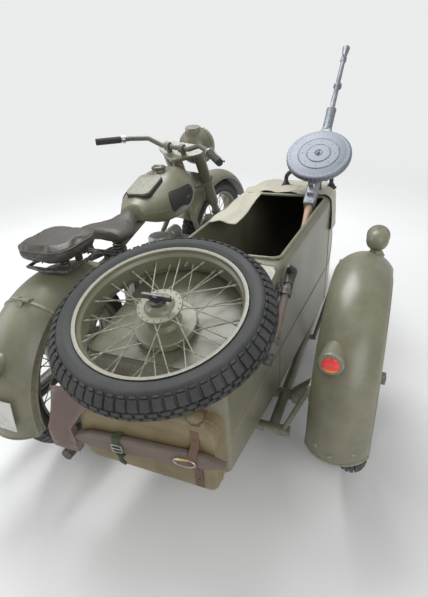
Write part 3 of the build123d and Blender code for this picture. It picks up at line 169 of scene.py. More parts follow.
def surface(name, colour, rough, metallic=0.0, patch=0.25, dust=0.0, dust_colour=(0.26, 0.22, 0.17),
            grain=0.0006, grain_scale=90.0, wear=None, specular=0.5, coat=0.0, stretch=(1, 1, 1),
            weave=0.0, sheen=0.0):
    """Worn surface: tone patches, dust that gathers low down, worn edges, and fine grain in its bump."""
    made, tree, shader = graph(name)
    links = tree.links
    shader.inputs["Metallic"].default_value = metallic
    shader.inputs["Specular IOR Level"].default_value = specular
    shader.inputs["Coat Weight"].default_value = coat
    shader.inputs["Coat Roughness"].default_value = 0.25
    shader.inputs["Sheen Weight"].default_value = sheen
    broad = noise_of(tree, 4.5, 5.0, 0.62, stretch)
    fine = noise_of(tree, grain_scale, 6.0, 0.7, stretch)
    tone = ramp(tree, broad, ((0.3, scaled(colour, 1 - patch)), (0.52, colour),
                              (0.75, scaled(colour, 1 + patch))))
    tone = mix(tree, ramp(tree, fine, ((0.35, 0.0), (0.75, 0.35))), tone, scaled(colour, 1 - 0.8 * patch))
    if wear is not None:
        edge = tree.nodes.new("ShaderNodeNewGeometry")
        rubbed = ramp(tree, edge.outputs["Pointiness"], ((0.53, 0.0), (0.6, 1.0)))
        tone = mix(tree, times(tree, rubbed, ramp(tree, fine, ((0.42, 0.0), (0.6, 0.8)))), tone, wear)
        chips = ramp(tree, noise_of(tree, 26.0, 8.0, 0.75), ((0.66, 0.0), (0.72, 0.7)))
        tone = mix(tree, chips, tone, scaled(colour, 0.55))
    if dust > 0.0:
        place = tree.nodes.new("ShaderNodeNewGeometry")
        height = tree.nodes.new("ShaderNodeSeparateXYZ")
        links.new(place.outputs["Position"], height.inputs[0])
        low = ramp(tree, height.outputs[2], ((0.05, 1.0), (0.75, 0.22)))
        patchy = ramp(tree, noise_of(tree, 9.0, 8.0, 0.7), ((0.38, 0.0), (0.68, dust)))
        tone = mix(tree, times(tree, low, patchy), tone, dust_colour)
    links.new(tone, shader.inputs["Base Color"])
    gloss = ramp(tree, broad, ((0.3, rough * 0.8), (0.7, min(1.0, rough * 1.25))))
    links.new(gloss, shader.inputs["Roughness"])
    layers = [(fine, 0.5, grain), (broad, 0.35, grain * 6)]
    if weave > 0.0:
        place = tree.nodes.new("ShaderNodeTexCoord")
        for direction in ("X", "Y"):
            wave = node(tree, "ShaderNodeTexWave", Scale=weave, Distortion=1.2, bands_direction=direction)
            wave.inputs["Detail"].default_value = 1.0
            links.new(place.outputs["Object"], wave.inputs["Vector"])
            layers.append((wave.outputs[0], 0.35, 0.0006))
    bump(tree, shader, *layers)
    return made


OLIVE = (0.158, 0.155, 0.1)
M = {
    "olive_paint": surface("olive_paint", OLIVE, 0.4, patch=0.3, dust=0.6, wear=(0.33, 0.32, 0.27),
                           grain=0.0005, coat=0.2),
    "can_paint": surface("can_paint", (0.2, 0.155, 0.075), 0.42, patch=0.32, dust=0.4,
                         wear=(0.3, 0.27, 0.2)),
    "tyre_rubber": surface("tyre_rubber", (0.04, 0.041, 0.042), 0.66, patch=0.35, dust=0.5, grain=0.0005,
                           grain_scale=160.0, dust_colour=(0.2, 0.19, 0.17), specular=0.35),
    "cast_alloy": surface("cast_alloy", (0.42, 0.42, 0.4), 0.5, 0.75, patch=0.2, dust=0.35, grain=0.0009,
                          grain_scale=220.0),
    "cast_iron": surface("cast_iron", (0.13, 0.13, 0.12), 0.6, 0.4, patch=0.25, dust=0.3, grain=0.0008,
                         grain_scale=240.0),
    "black_steel": surface("black_steel", (0.045, 0.045, 0.045), 0.42, 0.3, patch=0.3, dust=0.3,
                           wear=(0.2, 0.19, 0.18), grain=0.0003),
    "bare_steel": surface("bare_steel", (0.5, 0.5, 0.49), 0.34, 0.95, patch=0.2, grain=0.0002,
                          stretch=(1, 9, 1)),
    "black_rubber": surface("black_rubber", (0.04, 0.04, 0.04), 0.75, patch=0.25, dust=0.2, grain=0.0004,
                            specular=0.3),
    "saddle_leather": surface("saddle_leather", (0.06, 0.05, 0.042), 0.48, patch=0.3,
                              wear=(0.16, 0.11, 0.07), grain=0.0012, grain_scale=130.0),
    "seat_canvas": surface("seat_canvas", (0.1, 0.075, 0.05), 0.55, patch=0.25, wear=(0.2, 0.15, 0.1),
                           grain=0.001, grain_scale=110.0),
    "canvas": surface("canvas", (0.46, 0.43, 0.345), 0.88, patch=0.14, dust=0.2, grain=0.0008,
                      grain_scale=60.0, weave=210.0, sheen=0.25, specular=0.2),
    "webbing": surface("webbing", (0.07, 0.085, 0.055), 0.85, patch=0.2, grain=0.0006, weave=260.0,
                       specular=0.2),
    "dark_paint": surface("dark_paint", (0.1, 0.105, 0.08), 0.4, 0.1, patch=0.2, wear=(0.3, 0.3, 0.28)),
    "gun_metal": surface("gun_metal", (0.2, 0.218, 0.25), 0.5, 0.45, patch=0.3, wear=(0.42, 0.42, 0.42),
                         grain=0.0002),
    "wood": surface("wood", (0.46, 0.32, 0.225), 0.5, patch=0.22, grain=0.0006, grain_scale=55.0,
                    stretch=(6, 1, 6)),
    "grey_wood": surface("grey_wood", (0.16, 0.125, 0.105), 0.7, patch=0.3, grain=0.0009,
                         grain_scale=40.0, stretch=(1, 9, 9)),
    "rust_steel": surface("rust_steel", (0.17, 0.12, 0.105), 0.6, 0.35, patch=0.3,
                          wear=(0.35, 0.28, 0.25), grain=0.0006),
    "strap_leather": surface("strap_leather", (0.15, 0.085, 0.06), 0.6, patch=0.25, grain=0.0006,
                             grain_scale=180.0),
    "brass": surface("brass", (0.62, 0.45, 0.16), 0.3, 0.95, patch=0.15, grain=0.0002),
    "plate_white": surface("plate_white", (0.62, 0.62, 0.58), 0.45, patch=0.08, dust=0.3,
                           wear=(0.3, 0.28, 0.25)),
}


def lens_material(name, low, high, glow):
    """Moulded lens: colour runs from low to high up the lens as painted light, with fine ribs and a little inner
    light.
    """
    made, tree, shader = graph(name)
    place = tree.nodes.new("ShaderNodeTexCoord")
    split = tree.nodes.new("ShaderNodeSeparateXYZ")
    tree.links.new(place.outputs["Generated"], split.inputs[0])
    # Painted light up the lens: a bright orange glow painted low on the red lens, a lighter reflection painted
    # high on the clear one.
    tone = ramp(tree, split.outputs[2], ((0.18, low), (0.34, high)))
    tree.links.new(tone, shader.inputs["Base Color"])
    tree.links.new(tone, shader.inputs["Emission Color"])
    shader.inputs["Emission Strength"].default_value = glow
    shader.inputs["Roughness"].default_value = 0.12
    shader.inputs["Coat Weight"].default_value = 0.6
    ribs = node(tree, "ShaderNodeTexWave", Scale=26.0)
    tree.links.new(place.outputs["Generated"], ribs.inputs["Vector"])
    bump(tree, shader, (ribs.outputs[0], 0.5, 0.001))
    return made


# Low and high colours are painted light: orange glow at the red lens's bottom, a painted reflection lighter at the
# clear lens's top.
M["red_lens"] = lens_material("red_lens", (0.75, 0.25, 0.03), (0.62, 0.025, 0.02), 0.25)
M["clear_lens"] = lens_material("clear_lens", (0.62, 0.63, 0.62), (0.72, 0.73, 0.72), 0.0)

for sub in frame["record"]["subparts"]:
    target = NODES[sub["node"]]
    target.data.materials.clear()
    target.data.materials.append(M[sub["material_slot"]])
for name, look in (("fuel_can", "can_paint"), ("axe_handle", "grey_wood"), ("axe_head", "rust_steel")):
    NODES[name].data.materials[0] = M[look]


# Mesh helpers
def circle(count, shift=0.0):
    """Even angles round a full turn, moved on by a share of one step."""
    return [2 * math.pi * (k + shift) / count for k in range(count)]


def around(first, second, turn):
    """Direction at an angle from the first axis towards the second."""
    return first * math.cos(turn) + second * math.sin(turn)


def cleaned(mesh, near):
    """Merges points that lie within near of each other and turns all faces outward."""
    work = bmesh.new()
    work.from_mesh(mesh)
    bmesh.ops.remove_doubles(work, verts=work.verts, dist=near)
    bmesh.ops.recalc_face_normals(work, faces=work.faces)
    work.to_mesh(mesh)
    work.free()


def walled(made, thickness, offset):
    """Gives an open skin its sheet thickness."""
    wall = made.modifiers.new("wall", "SOLIDIFY")
    wall.thickness = thickness
    wall.offset = offset


def place_object(name, mesh, look, body, replaces=(), matrix=None, smooth=True, angle=35.0):
    if not mesh.materials:
        mesh.materials.append(M[look])
    if smooth:
        mesh.shade_smooth()
    made = linked(name, mesh)
    if matrix is not None:
        made.matrix_world = matrix
    if smooth and angle < 180:
        mesh.set_sharp_from_angle(angle=math.radians(angle))
    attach(made, body)
    if replaces:
        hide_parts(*replaces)
    return made


class Shape:
    """Collects vertices and faces of one piece."""

    def __init__(self):
        self.verts = []
        self.faces = []

    def add(self, verts, faces):
        base = len(self.verts)
        self.verts.extend(tuple(v) for v in verts)
        self.faces.extend(tuple(base + i for i in f) for f in faces)

    def rings(self, rings, closed=True, loop=False, cap=(True, True)):
        """Skin over equal rings; closed joins a ring's ends, loop joins the last ring to the first."""
        count = len(rings[0])
        faces = []
        spans = len(rings) if loop else len(rings) - 1
        for i in range(spans):
            a = i * count
            b = ((i + 1) % len(rings)) * count
            for j in range(count if closed else count - 1):
                k = (j + 1) % count
                faces.append((a + j, a + k, b + k, b + j))
        if not loop and closed:
            if cap[0]:
                faces.append(tuple(reversed(range(count))))
            if cap[1]:
                faces.append(tuple((len(rings) - 1) * count + j for j in range(count)))
        self.add([p for ring in rings for p in ring], faces)

    def tube(self, points, radius, sides=10, cap=(True, True), loop=False):
        """Round bar along points; radius is one number or one for each point."""
        points = [Vector(p) for p in points]
        count = len(points)
        up = None
        rings = []
        for i, p in enumerate(points):
            ahead = points[(i + 1) % count] - p if (i + 1 < count or loop) else p - points[i - 1]
            behind = p - points[i - 1] if (i > 0 or loop) else ahead
            along = (ahead.normalized() + behind.normalized()).normalized()
            if up is None:
                up = along.orthogonal().normalized()
            up = (up - along * up.dot(along)).normalized()
            side = along.cross(up)
            r = radius[i] if hasattr(radius, "__len__") else radius
            rings.append([p + around(up, side, t) * r for t in circle(sides)])
        self.rings(rings, True, loop, cap)

    def lathe(self, profile, start, axis, steps=48, closed=False):
        """Turns a profile of (distance along the axis, radius) round the axis."""
        axis = Vector(axis).normalized()
        up = axis.orthogonal().normalized()
        side = axis.cross(up)
        start = Vector(start)
        rings = []
        for along, r in profile:
            r = max(r, 1e-5)
            rings.append([start + axis * along + around(up, side, t) * r for t in circle(steps)])
        self.rings(rings, True, closed, (True, True))

    def box(self, centre, size, axes=None, bevel=0.001):
        """Box with its edges cut, along three axes."""
        x, y, z = axes or (Vector((1, 0, 0)), Vector((0, 1, 0)), Vector((0, 0, 1)))
        hx, hy, hz = (s / 2 for s in size)
        b = min(bevel, hx, hy, hz)
        rings = []
        for level, inset in ((-hz, b), (-hz + b, 0), (hz - b, 0), (hz, b)):
            ring = []
            for sx, sy in ((-1, -1), (1, -1), (1, 1), (-1, 1)):
                first = (sx * (hx - inset), sy * (hy - inset - b))
                second = (sx * (hx - inset - b), sy * (hy - inset))
                pair = [second, first] if sx * sy < 0 else [first, second]
                ring.extend(Vector(centre) + x * px + y * py + z * level for px, py in pair)
            rings.append(ring)
        self.rings(rings)

    def bolt(self, spot, out, radius=0.007, height=0.006):
        """Hexagon head on a washer."""
        out = Vector(out).normalized()
        spot = Vector(spot)
        self.lathe(((-0.002, radius * 1.5), (0.0012, radius * 1.5)), spot, out, 14)
        self.lathe(((0, radius), (height * 0.8, radius), (height, radius * 0.82)), spot, out, 6)

    def rivet(self, spot, out, radius=0.005):
        self.lathe(((-0.001, radius), (radius * 0.35, radius * 0.85), (radius * 0.6, radius * 0.35)),
                   spot, out, 8)

    def done(self, name, look, body, replaces=(), matrix=None, smooth=True, angle=35.0, clean=True):
        mesh = bpy.data.meshes.new(name)
        mesh.from_pydata([tuple(v) for v in self.verts], [], self.faces)
        if clean:
            cleaned(mesh, 2e-5)
        return place_object(name, mesh, look, body, replaces, matrix, smooth, angle)


def smooth_rows(rows, places):
    """Samples of a table of rows at the given places, on smooth cubic runs through each row."""
    made = []
    slopes = []
    for i in range(len(rows)):
        a = rows[max(i - 1, 0)]
        b = rows[min(i + 1, len(rows) - 1)]
        slopes.append([(q - p) / (b[0] - a[0]) for p, q in zip(a, b)])
    for y in places:
        i = 0
        while i < len(rows) - 2 and y > rows[i + 1][0]:
            i += 1
        a, b = rows[i], rows[i + 1]
        h = b[0] - a[0]
        t = (y - a[0]) / h
        made.append([y] + [
            (2 * t ** 3 - 3 * t ** 2 + 1) * a[k] + (t ** 3 - 2 * t ** 2 + t) * h * slopes[i][k]
            + (3 * t ** 2 - 2 * t ** 3) * b[k] + (t ** 3 - t ** 2) * h * slopes[i + 1][k]
            for k in range(1, len(a))])
    return made


def rounded_loop(half_x, half_y, radius, steps=6):
    """Rounded rectangle as a loop of (x, y)."""
    loop = []
    radius = min(radius, half_x, half_y)
    for sx, sy, start in ((1, -1, -90), (1, 1, 0), (-1, 1, 90), (-1, -1, 180)):
        for k in range(steps + 1):
            angle = math.radians(start + 90 * k / steps)
            loop.append((sx * (half_x - radius) + radius * math.cos(angle),
                         sy * (half_y - radius) + radius * math.sin(angle)))
    return loop


def wheel_angle(degrees):
    """Direction in the wheel's plane: 0 ahead, 90 up."""
    angle = math.radians(degrees)
    return Vector((0, math.cos(angle), math.sin(angle)))


# Wheels and tyres
RING_R = 0.285
SECTION_R = 0.050
TREAD_PITCHES = 66
TREAD_DEPTH = 0.0075


def tyre_point(lateral, angle, depth):
    """Point of the tyre's skin: degrees from the crown, angle round the wheel, depth below the tread."""
    tilt = math.radians(lateral)
    r = RING_R + (SECTION_R - depth) * math.cos(tilt)
    return wheel_angle(angle) * r + Vector(((SECTION_R - depth) * math.sin(tilt), 0, 0))


def tyre_mesh():
    shape = Shape()
    profile = []
    for lateral in range(-138, 139, 6):
        depth = TREAD_DEPTH if abs(lateral) < 60 else TREAD_DEPTH * max(0.0, (78 - abs(lateral)) / 18)
        if abs(lateral) in (84, 102):
            depth -= 0.0008
        tilt = math.radians(lateral)
        profile.append(((SECTION_R - depth) * math.sin(tilt),
                        RING_R + (SECTION_R - depth) * math.cos(tilt)))
    profile += [(0.030, 0.2475), (-0.030, 0.2475)]
    shape.lathe(profile, (0, 0, 0), (1, 0, 0), 96, closed=True)
    pitch = 360.0 / TREAD_PITCHES
    # Rows of blocks: lateral start and end, share of the pitch that the block fills, shift in pitches
    for low, high, fill, shift in ((-17, -2.2, 0.74, 0.0), (2.2, 17, 0.74, 0.5), (-60, -22, 0.8, 0.5),
                                   (22, 60, 0.8, 0.0)):
        for i in range(TREAD_PITCHES):
            a0 = (i + shift) * pitch
            a1 = a0 + pitch * fill
            rings = []
            for depth, trim in ((TREAD_DEPTH + 0.002, 0.0), (0.0012, 0.3), (0.0, 1.3)):
                l0, l1 = low + trim, high - trim
                lm = (l0 + l1) / 2
                b0, b1 = a0 + trim * 0.16, a1 - trim * 0.16
                rings.append([tyre_point(l, a, depth) for l, a in
                              ((l0, b0), (lm, b0), (l1, b0), (l1, b1), (lm, b1), (l0, b1))])
            shape.rings(rings, cap=(False, True))
    # Side lugs below each shoulder block
    for side in (-1, 1):
        for i in range(TREAD_PITCHES):
            a0 = (i + (0.5 if side < 0 else 0.0)) * pitch + pitch * 0.12
            a1 = a0 + pitch * 0.54
            rings = []
            for depth, trim in ((0.003, 0.0), (-0.0004, 1.0)):
                rings.append([tyre_point(side * l, a, depth) for l, a in
                              ((62 + trim, a0), (72 - trim, a0), (72 - trim, a1), (62 + trim, a1))])
            shape.rings(rings, cap=(False, True))
    return shape


def wheel_mesh():
    """Laced wheel: rolled rim, crossed spokes with nipples, and a finned drum hub on the -X side."""
    shape = Shape()
    half = [(0.046, 0.2557), (0.0445, 0.2563), (0.0425, 0.2548), (0.042, 0.2485), (0.030, 0.2478),
            (0.021, 0.2405)]
    under = [(0.0455, 0.2520), (0.044, 0.2455), (0.032, 0.2440), (0.023, 0.2362)]
    loop = half + [(-x, r) for x, r in reversed(half)] + [(-x, r)
                                                          for x, r in under] + list(reversed(under))
    shape.lathe(loop, (0, 0, 0), (1, 0, 0), 96, closed=True)
    hub = [(-0.055, 0.0102), (-0.055, 0.03), (-0.052, 0.034), (-0.052, 0.078), (-0.055, 0.082),
           (-0.055, 0.092), (-0.050, 0.096), (-0.046, 0.096), (-0.045, 0.093), (-0.042, 0.093),
           (-0.041, 0.096), (-0.037, 0.096), (-0.036, 0.093), (-0.033, 0.093), (-0.031, 0.096),
           (-0.029, 0.094), (-0.028, 0.07), (-0.022, 0.052), (-0.010, 0.042), (0.018, 0.042),
           (0.028, 0.05), (0.033, 0.066), (0.036, 0.068), (0.039, 0.068), (0.041, 0.066), (0.041, 0.046),
           (0.050, 0.040), (0.052, 0.036), (0.055, 0.030), (0.055, 0.0102)]
    shape.lathe(hub, (0, 0, 0), (1, 0, 0), 64, closed=True)
    for k in range(5):
        shape.bolt(wheel_angle(72 * k + 20) * 0.034 + Vector((0.0515, 0, 0)), (1, 0, 0), 0.005, 0.005)
        shape.bolt(wheel_angle(72 * k) * 0.055 + Vector((-0.0525, 0, 0)), (-1, 0, 0), 0.005, 0.004)
    for hub_x, hub_r, rim_x, base in ((-0.035, 0.088, -0.010, 0.0), (0.037, 0.060, 0.010, 10.0)):
        for index in range(18):
            angle = 20.0 * index + base
            lean = 20.4 if index % 2 else -20.4
            foot = wheel_angle(angle) * hub_r + Vector((hub_x, 0, 0))
            head = wheel_angle(angle + lean) * 0.2385 + Vector((rim_x, 0, 0))
            run = (head - foot).normalized()
            bend = foot + Vector((math.copysign(0.006, hub_x), 0, 0))
            shape.tube([bend, foot + run * 0.004, head], 0.0021, 6)
            shape.tube([head - run * 0.02, head - run * 0.016, head], [0.0026, 0.0042, 0.0042], 8)
    shape.tube([wheel_angle(5) * 0.243, wheel_angle(5) * 0.215], [0.005, 0.0042], 8)
    return shape


TYRE = tyre_mesh()
WHEEL = wheel_mesh()
LID_RISE = 0.746 - 0.622
LID_RUN = 0.455
LID_SLOPE = math.atan2(LID_RISE, LID_RUN)
STEER_REST = -10.0
STEER_AXIS = Vector(JOINTS["steering"]["axis"])
STEER_TURN = Matrix.Rotation(math.radians(STEER_REST), 4, STEER_AXIS)
WHEEL_SPOTS = {
    "rear": (Matrix.Translation(REAR), "rear_wheel_body"),
    "front": (Matrix.Translation(middle("front_wheel")) @ STEER_TURN, "front_wheel_body"),
    "sidecar": (Matrix.Translation(middle("sidecar_wheel")), "sidecar_wheel_body"),
    "spare": (Matrix.Translation(middle("spare_wheel")) @ Matrix.Rotation(LID_SLOPE, 4, "X")
              @ Matrix.Rotation(math.radians(-90.0), 4, "Y"), "trunk_lid_body"),
}
shared = {}
for spot, (matrix, body) in WHEEL_SPOTS.items():
    for kind, shape, look in (("tyre", TYRE, "tyre_rubber"), ("wheel", WHEEL, "olive_paint")):
        cad_node = spot + "_" + kind
        if spot in ("front", "spare"):
            turned = shared[kind].copy()
            turned.transform(matrix)
            place_object(cad_node + "_detail", turned, look, body, (cad_node,), smooth=False)
        elif kind not in shared:
            made = shape.done(cad_node + "_detail", look, body, (cad_node,), matrix, angle=30.0)
            shared[kind] = made.data
        else:
            place_object(cad_node + "_detail", shared[kind], look, body, (cad_node,), matrix,
                         smooth=False)


# Fenders
FENDER_SHEET = 0.002
EDGE_WIRE = 0.0042


def fender_section(spec, angle, lift=0.0, steps=16):
    """Open run across the fender at one angle, from rim to rim."""
    half, rim, shoulder, crown, start, end = spec
    near = min(angle - start, end - angle)
    corner = 9.0
    raised = rim
    if spec is SIDE_SPEC and near < corner:
        raised += (shoulder - rim) * 0.9 * (1 - math.sqrt(1 - (1 - near / corner) ** 2))
    rise = crown - shoulder
    bow = (half * half + rise * rise) / (2 * rise)
    spread = math.asin(half / bow) if bow > half else math.pi / 2
    run = [(-half - lift, raised), (-half - lift, (raised + shoulder) / 2)]
    for k in range(steps + 1):
        t = -spread + 2 * spread * k / steps
        run.append(((bow + lift) * math.sin(t), crown - bow + (bow + lift) * math.cos(t)))
    run += [(half + lift, (raised + shoulder) / 2), (half + lift, raised)]
    return run


def fender(name, spec, centre, body, replaces, matrix=None, extra=None, steps=56):
    """Pressed sheet fender with a wired edge all round; one that replaces no node is the edge alone."""
    shape = Shape()
    start, end = spec[4:]
    angles = [start + (end - start) * k / steps for k in range(steps + 1)]

    def place(x, r, angle):
        return centre + Vector((x, 0, 0)) + wheel_angle(angle) * r

    if replaces:
        shape.rings([[place(x, r, a) for x, r in
                      fender_section(spec, a) + fender_section(spec, a, -FENDER_SHEET)[::-1]]
                     for a in angles])
    edges = [[place(*fender_section(spec, a)[side], a) for a in angles] for side in (0, -1)]
    edges += [[place(x, r, a) for x, r in fender_section(spec, a)] for a in (start, end)]
    for run in edges:
        shape.tube(run, EDGE_WIRE, 8)
    if extra:
        extra(shape)
    return shape.done(name, "olive_paint", body, replaces, matrix, angle=40.0)


# Fender sizes: half width, rim radius, shoulder radius, crown radius, first and last angle
SIDE_SPEC = (0.092, 0.343, 0.372, 0.425, 14.0, 184.0)
REAR_SPEC = (0.105, 0.325, 0.352, 0.395, 34.0, 114.0)
TAIL_SPEC = (0.105, 0.325, 0.352, 0.395, 114.6, 186.0)
FRONT_SPEC = (0.066, 0.346, 0.360, 0.388, 20.0, 150.0)
SIDE_CENTRE = at(1.08 - 0.044, 0.23 + 0.03, WHEEL_R)


def side_extra(shape):
    """Bolt heads near the lower edge and a row of rivets along the inner side."""
    half, _, shoulder, crown, _, _ = SIDE_SPEC
    rise = crown - shoulder
    bow = (half ** 2 + rise ** 2) / (2 * rise)
    for x, angle in ((-0.055, 178.0), (0.05, 178.0), (-0.012, 180.0)):
        r = crown - bow + math.sqrt(bow * bow - x * x)
        shape.bolt(SIDE_CENTRE + Vector((x, 0, 0)) + wheel_angle(angle) * r,
                   wheel_angle(angle) + Vector((x * 4, 0, 0)), 0.005, 0.003)
    for angle in range(100, 176, 12):
        shape.rivet(SIDE_CENTRE + Vector((-half, 0, 0)) + wheel_angle(angle) * 0.356, (-1, 0, 0), 0.0045)


fender("sidecar_fender_detail", SIDE_SPEC, SIDE_CENTRE, "chassis", ("sidecar_fender",), extra=side_extra,
       steps=72)
fender("rear_fender_edge", REAR_SPEC, REAR, "chassis", ())
fender("rear_fender_tail_edge", TAIL_SPEC, REAR, "rear_tail_body", ())
FRONT_CENTRE = at(0, 1.43, WHEEL_R)
steer_point = Vector(JOINTS["steering"]["pos_m"])
TURNED = Matrix.Translation(steer_point) @ STEER_TURN @ Matrix.Translation(-steer_point)
fender("front_fender_edge", FRONT_SPEC, FRONT_CENTRE, "steering_body", (), matrix=TURNED)


# Sidecar body
# Rows: y, centre x, half width, bottom z, top z, corner radius
TUB_ROWS = [(-0.255, 0.524, 0.226, 0.245, 0.622, 0.026), (0.200, 0.570, 0.214, 0.205, 0.746, 0.030),
            (0.900, 0.622, 0.212, 0.190, 0.760, 0.034), (1.250, 0.622, 0.186, 0.212, 0.722, 0.060),
            (1.520, 0.618, 0.140, 0.262, 0.648, 0.090), (1.690, 0.612, 0.066, 0.350, 0.548, 0.060)]
TUB_YS = [-0.255, -0.2335, -0.15, -0.05, 0.05, 0.1785, 0.2, 0.22, 0.238, 0.32, 0.42, 0.52, 0.62, 0.72,
          0.82, 0.895, 0.96, 1.03, 1.1, 1.17, 1.24, 1.31, 1.38, 1.45, 1.52, 1.58, 1.63, 1.665, 1.69]
STRAIGHT_END = 0.9
OPEN_INSET = 0.02
TUB_WALL = 0.003
# Openings of the deck: first and last y between which the skin is left out
OPENINGS = ((-0.234, 0.179), (0.237, 0.896))


def tub_row(y):
    return smooth_rows(TUB_ROWS, [y])[0] if y > STRAIGHT_END else straight_row(y)


def straight_row(y):
    a, b = (TUB_ROWS[0], TUB_ROWS[1]) if y < 0.2 else (TUB_ROWS[1], TUB_ROWS[2])
    t = (y - a[0]) / (b[0] - a[0])
    return [p + t * (q - p) for p, q in zip(a, b)]


def edge_drop(x, half, corner):
    """Depth of the rounded top edge below the flat top, at an offset x from the middle."""
    over = abs(x) - (half - corner)
    return corner - math.sqrt(max(corner * corner - over * over, 0)) if over > 0 else 0


def tub_section(y, inset=0.0):
    """Closed loop round the body at y. Points 0 to 5 lie on the top between the opening's sides."""
    _, cx, half, low, high, corner = tub_row(y)
    half -= inset
    low += inset
    high -= inset
    corner = max(0.004, corner - inset)
    open_half = half - OPEN_INSET + inset
    flat = half - corner
    loop = []
    for k in range(6):
        x = open_half - 2 * open_half * k / 5
        loop.append((x, high - edge_drop(x, half, corner)))

    def arc(sx, sz, first, last, steps):
        for k in range(steps + 1):
            angle = math.radians(first + (last - first) * k / steps)
            loop.append((sx * flat + corner * math.cos(angle), sz + corner * math.sin(angle)))

    begin = 90 + math.degrees(math.asin(max(0.0, min(0.9, (open_half - flat) / corner)))) + 8
    arc(-1, high - corner, begin, 180, 5)
    for k in (1, 2, 3):
        loop.append((-half, high - corner + (low - high + 2 * corner) * k / 4))
    arc(-1, low + corner, 180, 270, 5)
    for k in (1, 2, 3):
        loop.append((-flat + 2 * flat * k / 4, low))
    arc(1, low + corner, -90, 0, 5)
    for k in (1, 2, 3):
        loop.append((half, low + corner + (high - low - 2 * corner) * k / 4))
    arc(1, high - corner, 0, 180 - begin, 5)
    return [at(cx + x, y, z) for x, z in loop]


def tub_piece():
    shape = Shape()
    rings = [tub_section(y) for y in TUB_YS]
    rear = tub_section(TUB_YS[0], 0.006)
    rings[0] = [p + Vector((0, 0.007, 0)) for p in rings[0]]
    rings = [rear] + rings
    count = len(rear)
    nose = (len(rings) - 1) * count
    faces = [tuple(range(count)), tuple(reversed(range(nose, nose + count)))]
    for i in range(len(rings) - 1):
        opened = i > 0 and any(low < TUB_YS[i - 1] and TUB_YS[i] < high for low, high in OPENINGS)
        a, b = i * count, (i + 1) * count
        for j in range(5 if opened else 0, count):
            k = (j + 1) % count
            faces.append((a + j, b + j, b + k, a + k))
    shape.add([p for ring in rings for p in ring], faces)
    made = shape.done("sidecar_tub_skin", "olive_paint", "chassis", ("sidecar_tub",), angle=50.0)
    walled(made, TUB_WALL, -1.0)


tub_piece()


def deck_point(x, y, lift=0.0):
    """Point on the body's top at an offset x from the body's middle."""
    _, cx, half, _, high, corner = tub_row(y)
    return at(cx + x, y, high - edge_drop(x, half, corner) + lift)


def rim_loop(y0, y1, inset, lift, steps=5):
    """Loop round an opening of the deck with rounded corners."""
    loop = []
    corner = 0.03
    for sx, y, start in ((1, y0 + corner, -90), (1, y1 - corner, 0), (-1, y1 - corner, 90),
                         (-1, y0 + corner, 180)):
        for k in range(steps + 1):
            angle = math.radians(start + 90 * k / steps)
            yy = y + corner * math.sin(angle)
            half = tub_row(yy)[2] - inset
            loop.append(deck_point(sx * (half - corner) + corner * math.cos(angle), yy, lift))
    return loop


def tub_trim():
    """Bulkhead, rolled cockpit rim, joint bands, flank beads and rivets."""
    trim = Shape()
    bulkhead = tub_section(0.2065, 0.003)
    trim.rings([[p + Vector((0, d, 0)) for p in bulkhead] for d in (-0.0015, 0.0015)])
    cockpit = []
    corners = rim_loop(0.24, 0.893, OPEN_INSET + 0.001, 0.002)
    for p, q in zip(corners, corners[1:] + corners[:1]):
        cockpit.append(p)
        if (q - p).length > 0.2:
            cockpit.extend(p.lerp(q, k / 6) for k in range(1, 6))
    trim.tube(cockpit, 0.0065, 10, loop=True)
    for y in (0.205, 0.93):
        band = [tub_section(y + d, lift) for d, lift in ((-0.011, 0.0), (-0.009, -0.0016),
                                                         (0.009, -0.0016), (0.011, 0.0))]
        trim.rings(band, cap=(False, False))
        loop = tub_section(y, -0.002)
        centre = sum(loop, Vector()) / len(loop)
        for j in (9, 11, 13, 21, 23, 25, 27, 29, 31):
            p = loop[j % len(loop)]
            trim.rivet(p + Vector((0, -0.005, 0)), (math.copysign(1, p.x - centre.x), 0, 0), 0.004)
    # Pressed bead along each flank
    for side in (-1, 1):
        run = []
        for k in range(41):
            y = -0.225 + 1.66 * k / 40
            _, cx, half, low, high, corner = tub_row(y)
            run.append(at(cx + side * (half - 0.001), y, low + corner + 0.36 * (high - low - 2 * corner)))
        trim.tube(run, 0.0042, 8)
    for z in (0.262, 0.60):
        for k in range(9):
            trim.rivet(at(TUB_ROWS[0][1] - 0.2 + 0.4 * k / 8, -0.2555, z), (0, -1, 0), 0.0035)
    trim.done("sidecar_tub_trim", "olive_paint", "chassis", angle=40.0)


tub_trim()


# Can, axe and straps
def can_piece():
    shape = Shape()
    can_low, can_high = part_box("fuel_can")
    centre = (can_low + can_high) / 2
    half = (can_high - can_low) / 2
    rings = []
    # Rings from front to rear: share of the depth, inset
    for depth, inset in ((0.0, 0.004), (0.03, 0.0), (0.45, 0.0), (0.47, -0.0025), (0.53, -0.0025),
                         (0.55, 0.0), (0.86, 0.0), (0.95, 0.003), (0.99, 0.009), (1.0, 0.016),
                         (0.995, 0.034), (0.97, 0.042), (0.97, 0.06)):
        y = can_high.y - (can_high.y - can_low.y) * depth
        rings.append([Vector((centre.x + x, y, centre.z + z)) for x, z in
                      rounded_loop(half.x - inset, half.z - inset, 0.034 - min(inset, 0.02), 6)])
    shape.rings(rings)
    # Filler neck at the upper right corner
    spout = Vector((can_high.x - 0.07, centre.y, can_high.z))
    shape.lathe(((-0.01, 0.019), (0.0, 0.019), (0.004, 0.024), (0.012, 0.024), (0.014, 0.02)),
                spout + Vector((0, 0, -0.004)), (0, 0, 1), 20)
    return shape.done("fuel_can_detail", "can_paint", "chassis", ("fuel_can",), angle=32.0)


